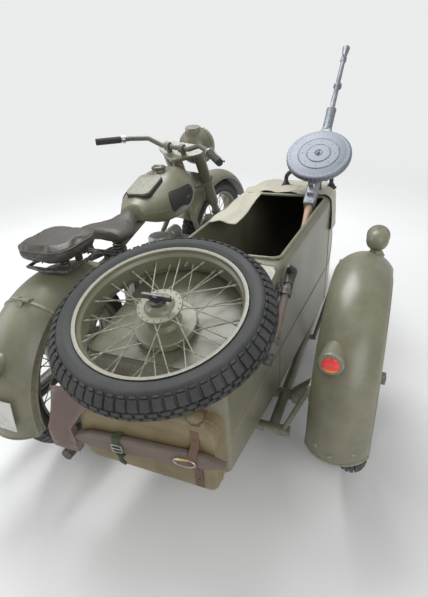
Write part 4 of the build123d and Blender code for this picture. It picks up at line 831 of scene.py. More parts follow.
can_piece()
HANDLE_TILT = math.radians(6.5)
HANDLE_X = 0.519
HANDLE_AXES = (Vector((math.cos(HANDLE_TILT), 0, math.sin(HANDLE_TILT))),
               Vector((-math.sin(HANDLE_TILT), 0, math.cos(HANDLE_TILT))), Vector((0, -1, 0)))
HANDLE_AT = at(HANDLE_X, -0.3296, 0.374)


def on_handle(along, up, out):
    return HANDLE_AT + HANDLE_AXES[0] * along + HANDLE_AXES[1] * up + HANDLE_AXES[2] * out


def axe_pieces():
    handle = Shape()
    rings = []
    steps = 26
    for k in range(steps + 1):
        s = -0.255 + 0.51 * k / steps
        half = 0.035 - 0.010 * k / steps + 0.0012 * noise.noise((s * 14, 0, 3))
        end = min(1.0, 0.25 + 6 * min(k, steps - k) / steps)
        rings.append([on_handle(s, u * end, 0.013 + o * (0.8 + 0.2 * end))
                      for u, o in rounded_loop(half, 0.0126, 0.010, 4)])
    handle.rings(rings)
    handle.done("axe_handle_detail", "grey_wood", "chassis", ("axe_handle",), angle=50.0)
    head = Shape()
    # Outline of the head: along the handle, up, and half its thickness there
    left = [(-0.360, -0.050), (-0.357, -0.010), (-0.352, 0.030), (-0.338, 0.052), (-0.322, 0.085),
            (-0.304, 0.125), (-0.288, 0.165), (-0.277, 0.200)]
    right = [(-0.256, -0.058), (-0.2555, -0.010), (-0.2555, 0.038), (-0.237, 0.058), (-0.212, 0.086),
             (-0.180, 0.118), (-0.146, 0.150), (-0.115, 0.178)]
    thick = [0.015, 0.015, 0.015, 0.0135, 0.0105, 0.0075, 0.0045, 0.0008]
    rings = []
    for (lx, lu), (rx, ru), t in zip(left, right, thick):
        ring = []
        for k in range(7):
            share = k / 6
            bow = 0.0 if t > 0.012 else 0.012 * math.sin(math.pi * share) * (0.2 + (0.015 - t) / 0.015)
            ring.append((lx + (rx - lx) * share - bow * 0.1, lu + (ru - lu) * share + bow))
        edge = min(0.003, t * 0.5)
        loop = [on_handle(x, u, 0.015 + t - (edge if i in (0, 6) else 0))
                for i, (x, u) in enumerate(ring)]
        loop += [on_handle(x, u, 0.015 - t + (edge if i in (0, 6) else 0))
                 for i, (x, u) in reversed(list(enumerate(ring)))]
        rings.append(loop)
    head.rings(rings)
    head.done("axe_head_detail", "rust_steel", "chassis", ("axe_head",), angle=35.0)


axe_pieces()
STRAP_X = 0.680
STRAP_WALL = 0.0028


def strap_pieces():
    long_strap = Shape()
    x = STRAP_X
    front = -0.2553
    rear = front - 0.074 - 0.026 - 0.0024
    low, high = 0.248 - 0.0012, 0.498 + 0.0012
    can_face = front - 0.0752
    outline = [(front, low), (can_face + 0.012, low), (can_face, low + 0.012), (can_face - 0.001, 0.348),
               (rear + 0.004, 0.362), (rear, 0.370), (rear, 0.415), (rear + 0.004, 0.422),
               (can_face - 0.001, 0.436), (can_face, high - 0.012), (can_face + 0.012, high),
               (front, high)]
    run = [at(x, y, z) for y, z in outline]
    width = 0.0125
    rings = []
    for i, p in enumerate(run):
        a = run[max(i - 1, 0)]
        b = run[min(i + 1, len(run) - 1)]
        along = (b - a).normalized()
        out = along.cross(Vector((1, 0, 0)))
        left, right = (p + Vector((w, 0, 0)) for w in (-width, width))
        rings.append([left, right, right + out * STRAP_WALL, left + out * STRAP_WALL])
    long_strap.rings(rings)
    for z in (0.29, 0.455):
        long_strap.rivet(at(x, can_face - 0.003, z), (0, -1, 0), 0.0035)
    long_strap.done("can_strap_long", "strap_leather", "chassis", ("can_straps",), angle=60.0)
    short = Shape()
    s = (0.430 - HANDLE_X) / math.cos(HANDLE_TILT)
    half = 0.0345
    loop = [(-half, 0.0), (-half, 0.024), (-half + 0.006, 0.0275), (half - 0.006, 0.0275), (half, 0.024),
            (half, 0.0)]
    rings = []
    for i, (u, o) in enumerate(loop):
        outer_u = u + math.copysign(STRAP_WALL, u) * (i not in (2, 3))
        outer_o = o + STRAP_WALL * (i not in (0, 5))
        rings.append([on_handle(s - 0.012, u, o), on_handle(s + 0.012, u, o),
                      on_handle(s + 0.012, outer_u, outer_o), on_handle(s - 0.012, outer_u, outer_o)])
    short.rings(rings)
    tail = [on_handle(s + 0.004, -0.02, 0.034), on_handle(s + 0.008, -0.045, 0.036),
            on_handle(s + 0.012, -0.062, 0.030)]
    short.tube(tail, [0.006, 0.0065, 0.005], 6)
    short.done("handle_strap", "webbing", "chassis", angle=60.0)
    metal = Shape()
    frame_loop = [on_handle(s + a, b, 0.0325) for a, b in rounded_loop(0.018, 0.014, 0.006, 3)]
    metal.tube(frame_loop, 0.0018, 8, loop=True)
    metal.tube([on_handle(s - 0.016, 0.0, 0.033), on_handle(s + 0.018, 0.001, 0.035)], 0.0014, 8)
    # Snap hook on the long strap: an oval ring with a straight gate
    hook_at = (STRAP_X - HANDLE_X) / math.cos(HANDLE_TILT)
    oval = [on_handle(hook_at - 0.018 + 0.034 * math.cos(t) * (1.1 if math.cos(t) < 0 else 0.9),
                      0.006 + 0.015 * math.sin(t), 0.036) for t in circle(28)]
    metal.tube(oval, 0.0021, 8, loop=True)
    metal.done("strap_buckles", "bare_steel", "chassis", angle=60.0)
    gate = Shape()
    gate.tube([on_handle(hook_at - 0.052, 0.012, 0.036), on_handle(hook_at - 0.03, 0.019, 0.038),
               on_handle(hook_at - 0.004, 0.022, 0.038)], [0.002, 0.0034, 0.003], 10)
    gate.done("snap_hook_gate", "brass", "chassis", angle=60.0)


strap_pieces()


# Lamps
def teardrop(shape, lens, axis, radius, length):
    """Streamlined lamp body behind a lens, its tip length away."""
    axis = Vector(axis).normalized()
    profile = [(-0.006, radius - 0.009), (-0.006, radius - 0.002), (-0.002, radius + 0.002),
               (0.006, radius + 0.002), (0.01, radius)]
    for k in range(1, 13):
        t = k / 12
        profile.append((0.01 + (length - 0.01) * t, radius * math.sqrt(max(0.0, 1 - t ** 1.9)) + 0.0006))
    shape.lathe(profile, lens, axis, 36)


def lens_dome(name, spot, out, radius, bulge, look, body):
    shape = Shape()
    profile = [(0.0, radius)]
    for k in range(1, 7):
        t = k / 6
        profile.append((bulge * math.sin(t * math.pi / 2), radius * math.cos(t * math.pi / 2) + 1e-4))
    shape.lathe(profile, spot, out, 32)
    return shape.done(name, look, body, angle=60.0)


def tail_lamp(name, body, centre, spec, angle, offset):
    seat = centre + Vector((offset, 0, 0)) + wheel_angle(angle) * spec[3]
    lens = seat + Vector((0, -0.034, 0.0))
    shape = Shape()
    teardrop(shape, lens, (0, 1, 0), 0.034, 0.118)
    shape.done(name + "_body", "olive_paint", body, (name,), angle=50.0)
    lens_dome(name + "_lens", lens + Vector((0, -0.005, 0)), (0, -1, 0), 0.0255, 0.009, "red_lens", body)


tail_lamp("sidecar_tail_lamp", "chassis", SIDE_CENTRE, SIDE_SPEC, 139.0, -0.038)
tail_lamp("tail_lamp", "rear_tail_body", REAR, TAIL_SPEC, 146.0, 0.0)


# Padded pieces
SIM_FRAMES = 20
PRESSURE = 4.0
VOXEL = 0.006
WELT = 0.0032


def blown(mesh, pull):
    """Presses the closed skin out by cloth with inner pressure; no point moves past pull."""
    rest = [v.co.copy() for v in mesh.vertices]
    helper = linked("stuffing", mesh)
    cloth = helper.modifiers.new("cloth", "CLOTH")
    cloth.settings.use_pressure = True
    cloth.settings.uniform_pressure_force = PRESSURE
    cloth.settings.effector_weights.gravity = 0.0
    cloth.settings.quality = 4
    for step in range(1, SIM_FRAMES + 1):
        bpy.context.scene.frame_set(step)
    final = helper.evaluated_get(bpy.context.evaluated_depsgraph_get()).data
    moved = [v.co.copy() for v in final.vertices]
    bpy.data.objects.remove(helper)
    bpy.context.scene.frame_set(1)
    for vertex, start, end in zip(mesh.vertices, rest, moved):
        step = end - start
        vertex.co = start + step * min(1.0, pull / max(step.length, 1e-9))


def puffed(name, shape, look, body, replaces, pull, seams=(), grooves=None, lump=0.002):
    """Stuffed piece: remeshed evenly, blown up, grooved where sewn through, with welts along any seams."""
    form = bpy.data.meshes.new(name + "_form")
    form.from_pydata([tuple(v) for v in shape.verts], [], shape.faces)
    cleaned(form, 1e-5)
    helper = linked("form", form)
    remesh = helper.modifiers.new("even", "REMESH")
    remesh.mode = "VOXEL"
    remesh.voxel_size = VOXEL
    mesh = bpy.data.meshes.new_from_object(helper.evaluated_get(bpy.context.evaluated_depsgraph_get()))
    bpy.data.objects.remove(helper)
    mesh.name = name
    blown(mesh, pull)
    moved = []
    for vertex in mesh.vertices:
        p = vertex.co.copy()
        push = lump * noise.noise(p * 9.0) + 0.5 * lump * noise.noise(p * 31.0)
        depth = grooves(p) if grooves else 0.0
        moved.append(p + vertex.normal * (push - depth))
    for vertex, p in zip(mesh.vertices, moved):
        vertex.co = p
    skin = BVHTree.FromPolygons([v.co for v in mesh.vertices], [p.vertices for p in mesh.polygons])
    mesh.materials.clear()
    made = place_object(name, mesh, look, body, replaces, angle=180)
    fine = made.modifiers.new("fine", "SUBSURF")
    fine.levels = 1
    fine.render_levels = 1
    if seams:
        welts = Shape()
        for seam in seams:
            welts.tube([skin.find_nearest(p)[0] for p in seam], WELT, 8, loop=True)
        welts.done(name + "_welt", look, body, angle=180)


def cushion_form(centre, size, corner, turn=0.0, crown=0.02, inset=0.008):
    """Box-like cushion on a plane through its centre, crowned on both faces, with pinched corners."""
    width, depth, height = (s - 2 * inset for s in size)
    shape = Shape()
    levels = ((-0.5, 0.80), (-0.46, 0.93), (-0.36, 0.99), (0.0, 1.0), (0.36, 0.99), (0.46, 0.93),
              (0.5, 0.80))
    turning = Matrix.Rotation(turn, 4, "X")
    outline = rounded_loop(width / 2, depth / 2, corner, 7)
    rings = []
    for level, share in levels:
        rings.append([centre + turning @ Vector((x * share, y * share, level * height * (1 - crown)))
                      for x, y in outline])
    shape.rings(rings)
    seams = [[centre + turning @ Vector((x * 1.05, y * 1.05, level * height)) for x, y in outline]
             for level in (-0.43, 0.43)]
    return shape, seams


SEAT_AT = at(0.596, 0.470, 0.281)
form, seams = cushion_form(SEAT_AT, (0.35, 0.36, 0.15), 0.045)
CHANNEL = 0.058


def channel(p, middle_x, depth, width):
    """Depth that the nearest sewn channel, running from front to rear or up the back, presses a point in."""
    near = abs((p.x - middle_x) / CHANNEL - 0.5 - math.floor((p.x - middle_x) / CHANNEL))
    return depth * max(0.0, 1 - near * CHANNEL / width)


def seat_channels(p):
    inside = p.z >= SEAT_AT.z + 0.05 and abs(p.x - SEAT_AT.x) < 0.15 and abs(p.y - SEAT_AT.y) < 0.15
    return channel(p, SEAT_AT.x, 0.007, 0.010) if inside else 0.0


puffed("seat_cushion_pad", form, "seat_canvas", "chassis", ("seat_cushion",), 0.014, seams,
       seat_channels)
BACK_TILT = math.radians(8.0)
back_low, back_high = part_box("seat_back")
BACK_AT = (back_low + back_high) / 2
form, seams = cushion_form(BACK_AT, (0.34, 0.32, 0.064), 0.04, math.radians(90.0) + BACK_TILT,
                           inset=0.007)


def back_channels(p):
    ahead = p.y > BACK_AT.y - (p.z - BACK_AT.z) * math.tan(BACK_TILT)
    inside = ahead and abs(p.x - BACK_AT.x) < 0.14 and abs(p.z - BACK_AT.z) < 0.13
    return channel(p, BACK_AT.x, 0.006, 0.009) if inside else 0.0


puffed("seat_back_pad", form, "seat_canvas", "chassis", ("seat_back",), 0.008, seams, back_channels)
PILLION_AT = at(0, 0.060, 0.806)
form, seams = cushion_form(PILLION_AT, (0.236, 0.250, 0.060), 0.07, inset=0.005)
puffed("pillion_saddle_pad", form, "saddle_leather", "chassis", ("pillion_saddle",), 0.008,
       seams[1:])


def rider_form():
    """Pan saddle: wide and raised at the back, with a narrow nose."""
    shape = Shape()
    rings = []
    # Distance ahead of the rear axle, half width, height of the top, thickness
    rows = ((0.266, 0.070, 0.770, 0.030), (0.276, 0.112, 0.777, 0.044), (0.300, 0.124, 0.776, 0.050),
            (0.350, 0.127, 0.768, 0.050), (0.400, 0.112, 0.760, 0.046), (0.450, 0.084, 0.758, 0.042),
            (0.500, 0.056, 0.764, 0.040), (0.527, 0.036, 0.768, 0.036), (0.537, 0.018, 0.765, 0.024))
    for y, half, top, thick in rows:
        ring = []
        for t in circle(20):
            c, s = math.cos(t), math.sin(t)
            x = half * math.copysign(abs(c) ** 0.55, c)
            z = math.copysign(abs(s) ** 0.7, s) * thick / 2
            droop = 0.010 * (x / max(half, 0.03)) ** 2
            ring.append(at(x, y, top - thick / 2 + z - droop))
        rings.append(ring)
    shape.rings(rings)
    return shape


puffed("rider_saddle_pad", rider_form(), "saddle_leather", "chassis", ("rider_saddle",), 0.004)


def coil(shape, foot, height, radius, wire, turns):
    points = []
    for k in range(turns * 14 + 1):
        t = 2 * math.pi * k / 14
        points.append(foot + Vector((radius * math.cos(t), radius * math.sin(t),
                                     height * k / (turns * 14))))
    shape.tube(points, wire, 8)


def saddle_frames():
    shape = Shape()
    for side in (-1, 1):
        coil(shape, at(side * 0.078, 0.306, 0.674), 0.054, 0.020, 0.0032, 4)
        for z in (0.671, 0.728):
            shape.lathe(((-0.003, 0.024), (0.003, 0.024)), at(side * 0.078, 0.306, z), (0, 0, 1), 24)
    shape.box(at(0, 0.306, 0.666), (0.190, 0.030, 0.010), bevel=0.003)
    shape.tube([at(-0.078, 0.306, 0.731), at(-0.06, 0.40, 0.730), at(-0.026, 0.49, 0.732),
                at(0, 0.522, 0.733), at(0.026, 0.49, 0.732), at(0.06, 0.40, 0.730),
                at(0.078, 0.306, 0.731)], 0.006, 8)
    shape.tube([at(0, 0.318, 0.634), at(0, 0.318, 0.666)], 0.012, 16)
    shape.tube([at(0, 0.520, 0.680), at(0, 0.520, 0.735)], 0.010, 16)
    shape.tube([at(x, y, 0.742) for x, y in ((-0.085, -0.02), (-0.095, 0.07), (-0.085, 0.16), (0, 0.175),
                                             (0.085, 0.16), (0.095, 0.07), (0.085, -0.02), (0, -0.035))],
               0.007, 10, loop=True)
    for y in (-0.02, 0.15):
        shape.tube([at(-0.09, y, 0.742), at(0.09, y, 0.742)], 0.006, 8)
        shape.tube([at(0, y, 0.735), at(0, y, 0.700 if y < 0 else 0.704)], 0.015, 16)
    for side in (-1, 1):
        coil(shape, at(side * 0.06, 0.01, 0.748), 0.028, 0.014, 0.003, 3)
        coil(shape, at(side * 0.06, 0.12, 0.748), 0.028, 0.014, 0.003, 3)
    shape.done("saddle_frames", "black_steel", "chassis", angle=50.0)


saddle_frames()


# Canvas cover
COVER_ROWS = 96
COVER_ACROSS = 120
COVER_REAR = 0.880
COVER_FRONT = 1.235
LAST_Y = 1.249
CANVAS_WALL = 0.002
HEM = 0.0028
# The strip run back along the left side: its rear end, its inner edge, and its grid
STRIP_REAR = 0.505
STRIP_INNER = 0.518
STRIP_ROWS = 44
STRIP_ACROSS = 26


def cover_point(u, y):
    """Point of the canvas: u runs 0 to 1 from its left hem over the top to its right hem."""
    _, cx, half, _, high, corner = tub_row(y)
    left_drop = 0.085 + 0.03 * math.sin(7 * y + 1)
    right_drop = 0.135 + 0.012 * math.sin(19 * y + 0.6)
    flat = half - corner
    arc = corner * math.pi / 2
    total = left_drop + arc + 2 * flat + arc + right_drop
    s = u * total
    lift = 0.0025
    if s < left_drop:
        x, z, nx, nz = -half, high - corner - (left_drop - s), -1.0, 0.0
        hang = (left_drop - s) / 0.14
    elif s < left_drop + arc:
        t = (s - left_drop) / corner
        nx, nz = -math.cos(t), math.sin(t)
        x, z = -flat + corner * nx, high - corner + corner * nz
        hang = 0.0
    elif s < left_drop + arc + 2 * flat:
        x, z, nx, nz = -flat + s - left_drop - arc, high, 0.0, 1.0
        hang = 0.0
    elif s < total - right_drop:
        t = (s - left_drop - arc - 2 * flat) / corner
        nx, nz = math.sin(t), math.cos(t)
        x, z = flat + corner * nx, high - corner + corner * nz
        hang = 0.0
    else:
        x, z, nx, nz = half, high - corner - (s - total + right_drop), 1.0, 0.0
        hang = (s - total + right_drop) / 0.14
    # Deep folds run down from the top's edges; broad ones cross the top
    fold = 0.5 + 0.5 * math.sin(46 * y + 2.2 * math.sin(9 * y) + (1.4 if nx > 0 else 0.0))
    lift += 0.009 * hang ** 0.7 * fold if hang > 0 else 0.0
    over = abs(x) / half
    top = nz if nz > 0 else 0.0
    ridge = 1.0 - abs(noise.noise(Vector((x * 4.2 + 3, y * 8.5, 1.7))) * 2.4)
    ridge2 = 1.0 - abs(noise.noise(Vector((x * 9.0 + 11 + y * 4, y * 12.0, 5.1))) * 2.6)
    lift += top * (0.007 * max(0.0, ridge) ** 2 + 0.004 * max(0.0, ridge2) ** 2)
    lift += (0.0015 + 0.004 * top) * (noise.noise(Vector((x * 22, y * 17, z * 9))) + 0.4)
    # Pleats gather where the fabric meets its edges
    gather = 0.5 + 0.5 * math.sin(62 * y + 9 * x)
    lift += 0.004 * gather * (1 - abs(over - 0.85) / 0.4) * top if abs(over - 0.85) < 0.4 else 0.0
    return at(cx + x, y, z) + Vector((nx, 0, nz)) * max(lift, 0.0022)


def grid_faces(rows, across):
    row = across + 1
    return [(i * row + j, i * row + j + 1, (i + 1) * row + j + 1, (i + 1) * row + j)
            for i in range(rows) for j in range(across)]


def canvas_cover():
    shape = Shape()
    verts = []
    for i in range(COVER_ROWS + 1):
        y = COVER_REAR + 0.026 + (COVER_FRONT - COVER_REAR - 0.026) * i / COVER_ROWS
        for j in range(COVER_ACROSS + 1):
            u = j / COVER_ACROSS
            ahead = i / COVER_ROWS
            wave = 0.008 * math.sin(14 * u + 2) * (1 - ahead) + 0.012 * math.sin(11 * u) * ahead
            verts.append(cover_point(u, min(LAST_Y, y + wave)))
    shape.add(verts, grid_faces(COVER_ROWS, COVER_ACROSS))
    # The strip run back along the left side grows out of the rear hem
    back = []
    strip, wide = STRIP_ROWS, STRIP_ACROSS
    for i in range(strip + 1):
        y = STRIP_REAR + (COVER_REAR + 0.03 - STRIP_REAR) * i / strip
        _, cx, half, _, high, corner = straight_row(min(y, 0.899))
        inner = at(STRIP_INNER + 0.006 * math.sin(13 * y), 0, 0).x - at(cx, 0, 0).x
        for j in range(wide + 1):
            t = j / wide
            x = -half + 0.012 + (inner + half - 0.012) * t
            drop = edge_drop(x, half, corner)
            fold = 0.5 + 0.5 * math.sin(70 * x + 3 * math.sin(8 * y) + 1.0)
            rise = 0.003 + 0.009 * fold * math.sin(math.pi * min(1, t * 1.1)) ** 0.5
            rise += 0.004 * (noise.noise(Vector((x * 14, y * 9, 2.2))) + 0.3)
            if x > -half + 0.03:
                rise = max(rise, 0.004)
            back.append(at(cx + x, y, high - drop + max(rise, 0.0025)))
    row = wide + 1
    shape.add(back, grid_faces(strip, wide))
    cover = shape.done("canvas_cover", "canvas", "chassis", ("apron",), angle=180, clean=False)
    walled(cover, CANVAS_WALL, 1.0)
    hems = Shape()
    hems.tube([Vector(back[i * row + wide]) for i in range(strip + 1)], HEM, 6)
    hems.tube([Vector(p) for p in back[:row]], HEM, 6)
    for edge_u in (0.0, 1.0):
        run = [cover_point(edge_u, 0.912 + 0.32 * k / 60) for k in range(61)]
        hems.tube(run, HEM, 6)
    run = [cover_point(k / 80, min(LAST_Y, COVER_FRONT + 0.012 * math.sin(11 * k / 80)))
           for k in range(81)]
    hems.tube(run, 0.0032, 6)
    hem = hems.done("canvas_hem", "canvas", "chassis", angle=180)
    return cover, hem


cover, hem = canvas_cover()
RAIL_Y = 1.066


def rail_feet():
    """Round flanges under the hand rail's ends, clamping the canvas."""
    shape = Shape()
    deck = tub_row(RAIL_Y)[4]
    for x in (0.590, 0.810):
        foot = at(x, RAIL_Y, deck + 0.004)
        shape.lathe(((0, 0.026), (0.006, 0.026), (0.009, 0.020), (0.022, 0.0135), (0.024, 0.011)), foot,
                    (0, 0, 1), 28)
        for k in range(3):
            turn = 2 * math.pi * k / 3 + 0.5
            shape.bolt(foot + Vector((0.019 * math.cos(turn), 0.019 * math.sin(turn), 0.005)), (0, 0, 1),
                       0.0035, 0.003)
    shape.done("rail_flanges", "black_steel", "chassis", angle=40.0)


rail_feet()


# Fuel tank
TANK_ROWS = [(0.560, 0.062, 0.712, 0.790), (0.680, 0.128, 0.668, 0.826), (0.860, 0.152, 0.660, 0.868),
             (1.000, 0.118, 0.672, 0.852), (1.060, 0.066, 0.702, 0.806)]


def tank_ring(y, half, low, high):
    height = high - low
    marks = [(-0.62 * half, low), (0.62 * half, low), (0.9 * half, low + 0.12 * height),
             (half, low + 0.42 * height), (0.9 * half, low + 0.68 * height),
             (0.66 * half, low + 0.84 * height), (0.36 * half, low + 0.955 * height), (0, high),
             (-0.36 * half, low + 0.955 * height), (-0.66 * half, low + 0.84 * height),
             (-0.9 * half, low + 0.68 * height), (-half, low + 0.42 * height),
             (-0.9 * half, low + 0.12 * height)]
    ring = []
    count = len(marks)
    for i in range(count):
        a, b, c, d = (marks[(i + k) % count] for k in (-1, 0, 1, 2))
        for step in range(4):
            t = step / 4
            if i == 0:
                point = (b[0] + (c[0] - b[0]) * t, b[1])
            else:
                point = tuple(0.5 * (2 * q + (r - p) * t + (2 * p - 5 * q + 4 * r - s) * t * t
                                     + (3 * q - p - 3 * r + s) * t ** 3)
                              for p, q, r, s in zip(a, b, c, d))
            ring.append(at(point[0], y, point[1]))
    return ring


def tank_end(y, row):
    """Smaller ring that rounds off an end of the tank."""
    _, half, low, high = row
    return tank_ring(y, half * 0.86, low + 0.10 * (high - low), high - 0.12 * (high - low))


def fuel_tank():
    shape = Shape()
    ys = [0.560 + 0.5 * k / 40 for k in range(41)]
    rows = smooth_rows(TANK_ROWS, ys)
    rings = [tank_end(0.553, rows[0])] + [tank_ring(*row) for row in rows] + [tank_end(1.067, rows[-1])]
    shape.rings(rings)
    # Seam flange along both flanks
    for side in (-1, 1):
        for part in (rows[:10], rows[29:]):
            run = [at(side * (row[1] + 0.0005), row[0], row[2] + 0.40 * (row[3] - row[2]))
                   for row in part]
            shape.tube(run, 0.0022, 6)
    cap_top = smooth_rows(TANK_ROWS, [0.85])[0][3]
    spot = at(0, 0.850, cap_top)
    shape.lathe(((-0.012, 0.030), (0.004, 0.030), (0.007, 0.028)), spot, (0, 0, 1), 32)
    shape.done("fuel_tank_skin", "olive_paint", "chassis", ("fuel_tank",), angle=60.0)
    cap = Shape()
    profile = [(0.006, 0.028), (0.007, 0.033), (0.010, 0.0345), (0.017, 0.0345), (0.021, 0.031),
               (0.023, 0.02), (0.0235, 0.0)]
    cap.lathe(profile, spot, (0, 0, 1), 48)
    for turn in circle(24):
        out = Vector((math.cos(turn), math.sin(turn), 0))
        cap.tube([spot + out * 0.0343 + Vector((0, 0, 0.010)),
                  spot + out * 0.0343 + Vector((0, 0, 0.017))], 0.0013, 6)
    cap.box(spot + Vector((0, 0, 0.0245)), (0.046, 0.010, 0.005), bevel=0.002)
    cap.done("fuel_cap", "dark_paint", "chassis", angle=40.0)


fuel_tank()


def lid_lugs():
    """Outer hinge barrels of the toolbox lid."""
    shape = Shape()
    pin = Vector(JOINTS["toolbox_lid_hinge"]["pos_m"])
    for side in (-1, 1):
        shape.lathe(((0, 0.0055), (0.014, 0.0055)),
                    pin + Vector((side * 0.009 - (0.014 if side < 0 else 0), 0, 0)), (1, 0, 0), 16)
        shape.box(pin + Vector((side * 0.016, 0.004, -0.011)), (0.014, 0.009, 0.018), bevel=0.002)
    shape.done("toolbox_hinge_lugs", "olive_paint", "chassis", angle=50.0)


lid_lugs()


# Engine castings
ENGINE_Y = 0.850
ENGINE_Z = 0.335


def engine_castings():
    shape = Shape()
    front = ENGINE_Y + 0.165
    shape.lathe(((0, 0.076), (0.004, 0.072), (0.007, 0.050), (0.012, 0.046), (0.014, 0.036),
                 (0.014, 0.012)),
                at(0, front, ENGINE_Z + 0.04), (0, 1, 0), 40)
    for turn in circle(8, 0.5):
        spot = at(0.068 * math.cos(turn), front - 0.001, ENGINE_Z + 0.04 + 0.068 * math.sin(turn))
        shape.bolt(spot, (0, 1, 0), 0.0045, 0.005)
    for side in (-1, 1):
        # Ribs and joint flange of the crankcase
        for z in (0.255, 0.285, 0.395, 0.425):
            shape.box(at(side * 0.102, ENGINE_Y, z), (0.008, 0.215, 0.006), bevel=0.002)
        for y in (-0.112, 0.116):
            shape.box(at(side * 0.103, ENGINE_Y + y, ENGINE_Z + 0.008), (0.010, 0.012, 0.220),
                      bevel=0.003)
            for z in (-0.09, -0.03, 0.04, 0.10):
                shape.bolt(at(side * 0.108, ENGINE_Y + y, ENGINE_Z + z), (side, 0, 0), 0.0045, 0.005)
        # Cover of the gearbox with its bolts
        outline = rounded_loop(0.084, 0.092, 0.035, 6)
        middle = (ENGINE_Y - 0.236, ENGINE_Z + 0.02)
        rings = [[at(side * x, middle[0] + a * grow, middle[1] + b * grow) for a, b in outline]
                 for x, grow in ((0.088, 1.0), (0.096, 1.0), (0.099, 0.95), (0.099, 0.82), (0.094, 0.76),
                                 (0.094, 0.3))]
        shape.rings(rings)
        for k in range(0, 28, 4):
            a, b = outline[k + 1]
            shape.bolt(at(side * 0.0985, middle[0] + a * 0.89, middle[1] + b * 0.89), (side, 0, 0), 0.004,
                       0.004)
        for k in range(-2, 3):
            shape.box(at(side * 0.0965, middle[0], middle[1] + k * 0.022), (0.007, 0.105, 0.005),
                      bevel=0.0015)
    # Generator and breather on top, with the filter can behind them
    shape.lathe(((0, 0.030), (0.004, 0.034), (0.090, 0.034), (0.094, 0.030), (0.094, 0.010)),
                at(0, ENGINE_Y + 0.02, ENGINE_Z + 0.176), (0, 1, 0), 32)
    for k in range(10):
        shape.lathe(((0, 0.034), (0.001, 0.0358), (0.003, 0.0358), (0.004, 0.034)),
                    at(0, ENGINE_Y + 0.028 + 0.008 * k, ENGINE_Z + 0.176), (0, 1, 0), 28)
    shape.lathe(((0, 0.052), (0.004, 0.056), (0.060, 0.056), (0.068, 0.050), (0.072, 0.020)),
                at(0, ENGINE_Y - 0.085, ENGINE_Z + 0.156), (0, 0, 1), 36)
    shape.done("engine_castings", "cast_alloy", "chassis", angle=40.0)
    heads = Shape()
    for side in (-1, 1):
        y = ENGINE_Y + side * 0.018
        for z in (-0.036, 0.036):
            heads.box(at(side * 0.362, y, ENGINE_Z + z), (0.006, 0.085, 0.012), bevel=0.002)
        for a in (-1, 1):
            heads.bolt(at(side * 0.3645, y + a * 0.05, ENGINE_Z), (side, 0, 0), 0.006, 0.006)
        for k in range(7):
            heads.box(at(side * 0.3425, y, ENGINE_Z - 0.06 + 0.02 * k),
                      (0.004, 2 * math.sqrt(max(0.083 ** 2 - (0.02 * k - 0.06) ** 2, 0.0004)), 0.0035),
                      bevel=0.001)
    heads.done("cylinder_head_ribs", "cast_iron", "chassis", angle=40.0)


engine_castings()


# Headlight, marker lamp and side tool
LAMP_AT = at(0, 1.2516, 0.905)


def headlight():
    shell = Shape()
    profile = [(0.022, 0.1), (0.012, 0.1005), (0.0, 0.099)]
    for k in range(1, 17):
        t = k / 16
        profile.append((-0.097 * math.sin(t * math.pi / 2),
                        0.098 * math.cos(t * math.pi / 2) ** 0.9 + 0.0004))
    shell.lathe(profile, LAMP_AT, (0, 1, 0), 56)
    dial_axis = Vector((0, -0.13, 0.99)).normalized()
    dial = LAMP_AT + Vector((0, -0.034, 0.062))
    shell.lathe(((0.0, 0.046), (0.026, 0.042), (0.034, 0.041), (0.037, 0.039), (0.037, 0.035)), dial,
                dial_axis, 36)
    for side in (-1, 1):
        leg = LAMP_AT + Vector((side * 0.094, -0.012, 0))
        shell.lathe(((0, 0.013), (0.010, 0.013), (0.012, 0.009), (0.018, 0.009)), leg, (side, 0, 0), 6)
    shell.done("headlight_shell", "olive_paint", "steering_body", (), matrix=TURNED, angle=40.0)
    rim = Shape()
    rim.lathe(((0.018, 0.1005), (0.020, 0.1015), (0.028, 0.1015), (0.034, 0.098), (0.036, 0.092),
               (0.034, 0.087), (0.029, 0.086)), LAMP_AT, (0, 1, 0), 56)
    rim.lathe(((0.0335, 0.041), (0.0375, 0.0415), (0.0385, 0.039), (0.0375, 0.036), (0.034, 0.0355)),
              dial, dial_axis, 36, closed=True)
    rim.done("headlight_rim", "bare_steel", "steering_body", matrix=TURNED, angle=40.0)
    glass = Shape()
    profile = [(0.030, 0.0865)] + [(0.030 + 0.014 * math.sin(k / 8 * math.pi / 2),
                                    0.0865 * math.cos(k / 8 * math.pi / 2) + 1e-4)
                                   for k in range(1, 9)]
    glass.lathe(profile, LAMP_AT, (0, 1, 0), 48)
    glass.done("headlight_glass", "clear_lens", "steering_body", matrix=TURNED, angle=70.0)
    face = Shape()
    face.lathe(((0.034, 0.036), (0.0355, 0.034), (0.0358, 0.0)), dial, dial_axis, 36)
    face.done("speed_dial", "plate_white", "steering_body", matrix=TURNED, angle=40.0)
    marks = Shape()
    side_axis = Vector((1, 0, 0))
    up_axis = dial_axis.cross(side_axis)
    for k in range(13):
        turn = math.radians(-120 + 20 * k)
        out = around(up_axis, side_axis, turn)
        marks.tube([dial + dial_axis * 0.0362 + out * 0.026, dial + dial_axis * 0.0362 + out * 0.031],
                   0.0007, 5)
    needle = around(up_axis, side_axis, -2.0)
    marks.tube([dial + dial_axis * 0.037 - needle * 0.005, dial + dial_axis * 0.037 + needle * 0.024],
               [0.0012, 0.0004], 6)
    marks.lathe(((0.0355, 0.0035), (0.0385, 0.003)), dial, dial_axis, 16)
    marks.done("speed_dial_marks", "black_rubber", "steering_body", matrix=TURNED, angle=60.0)


headlight()


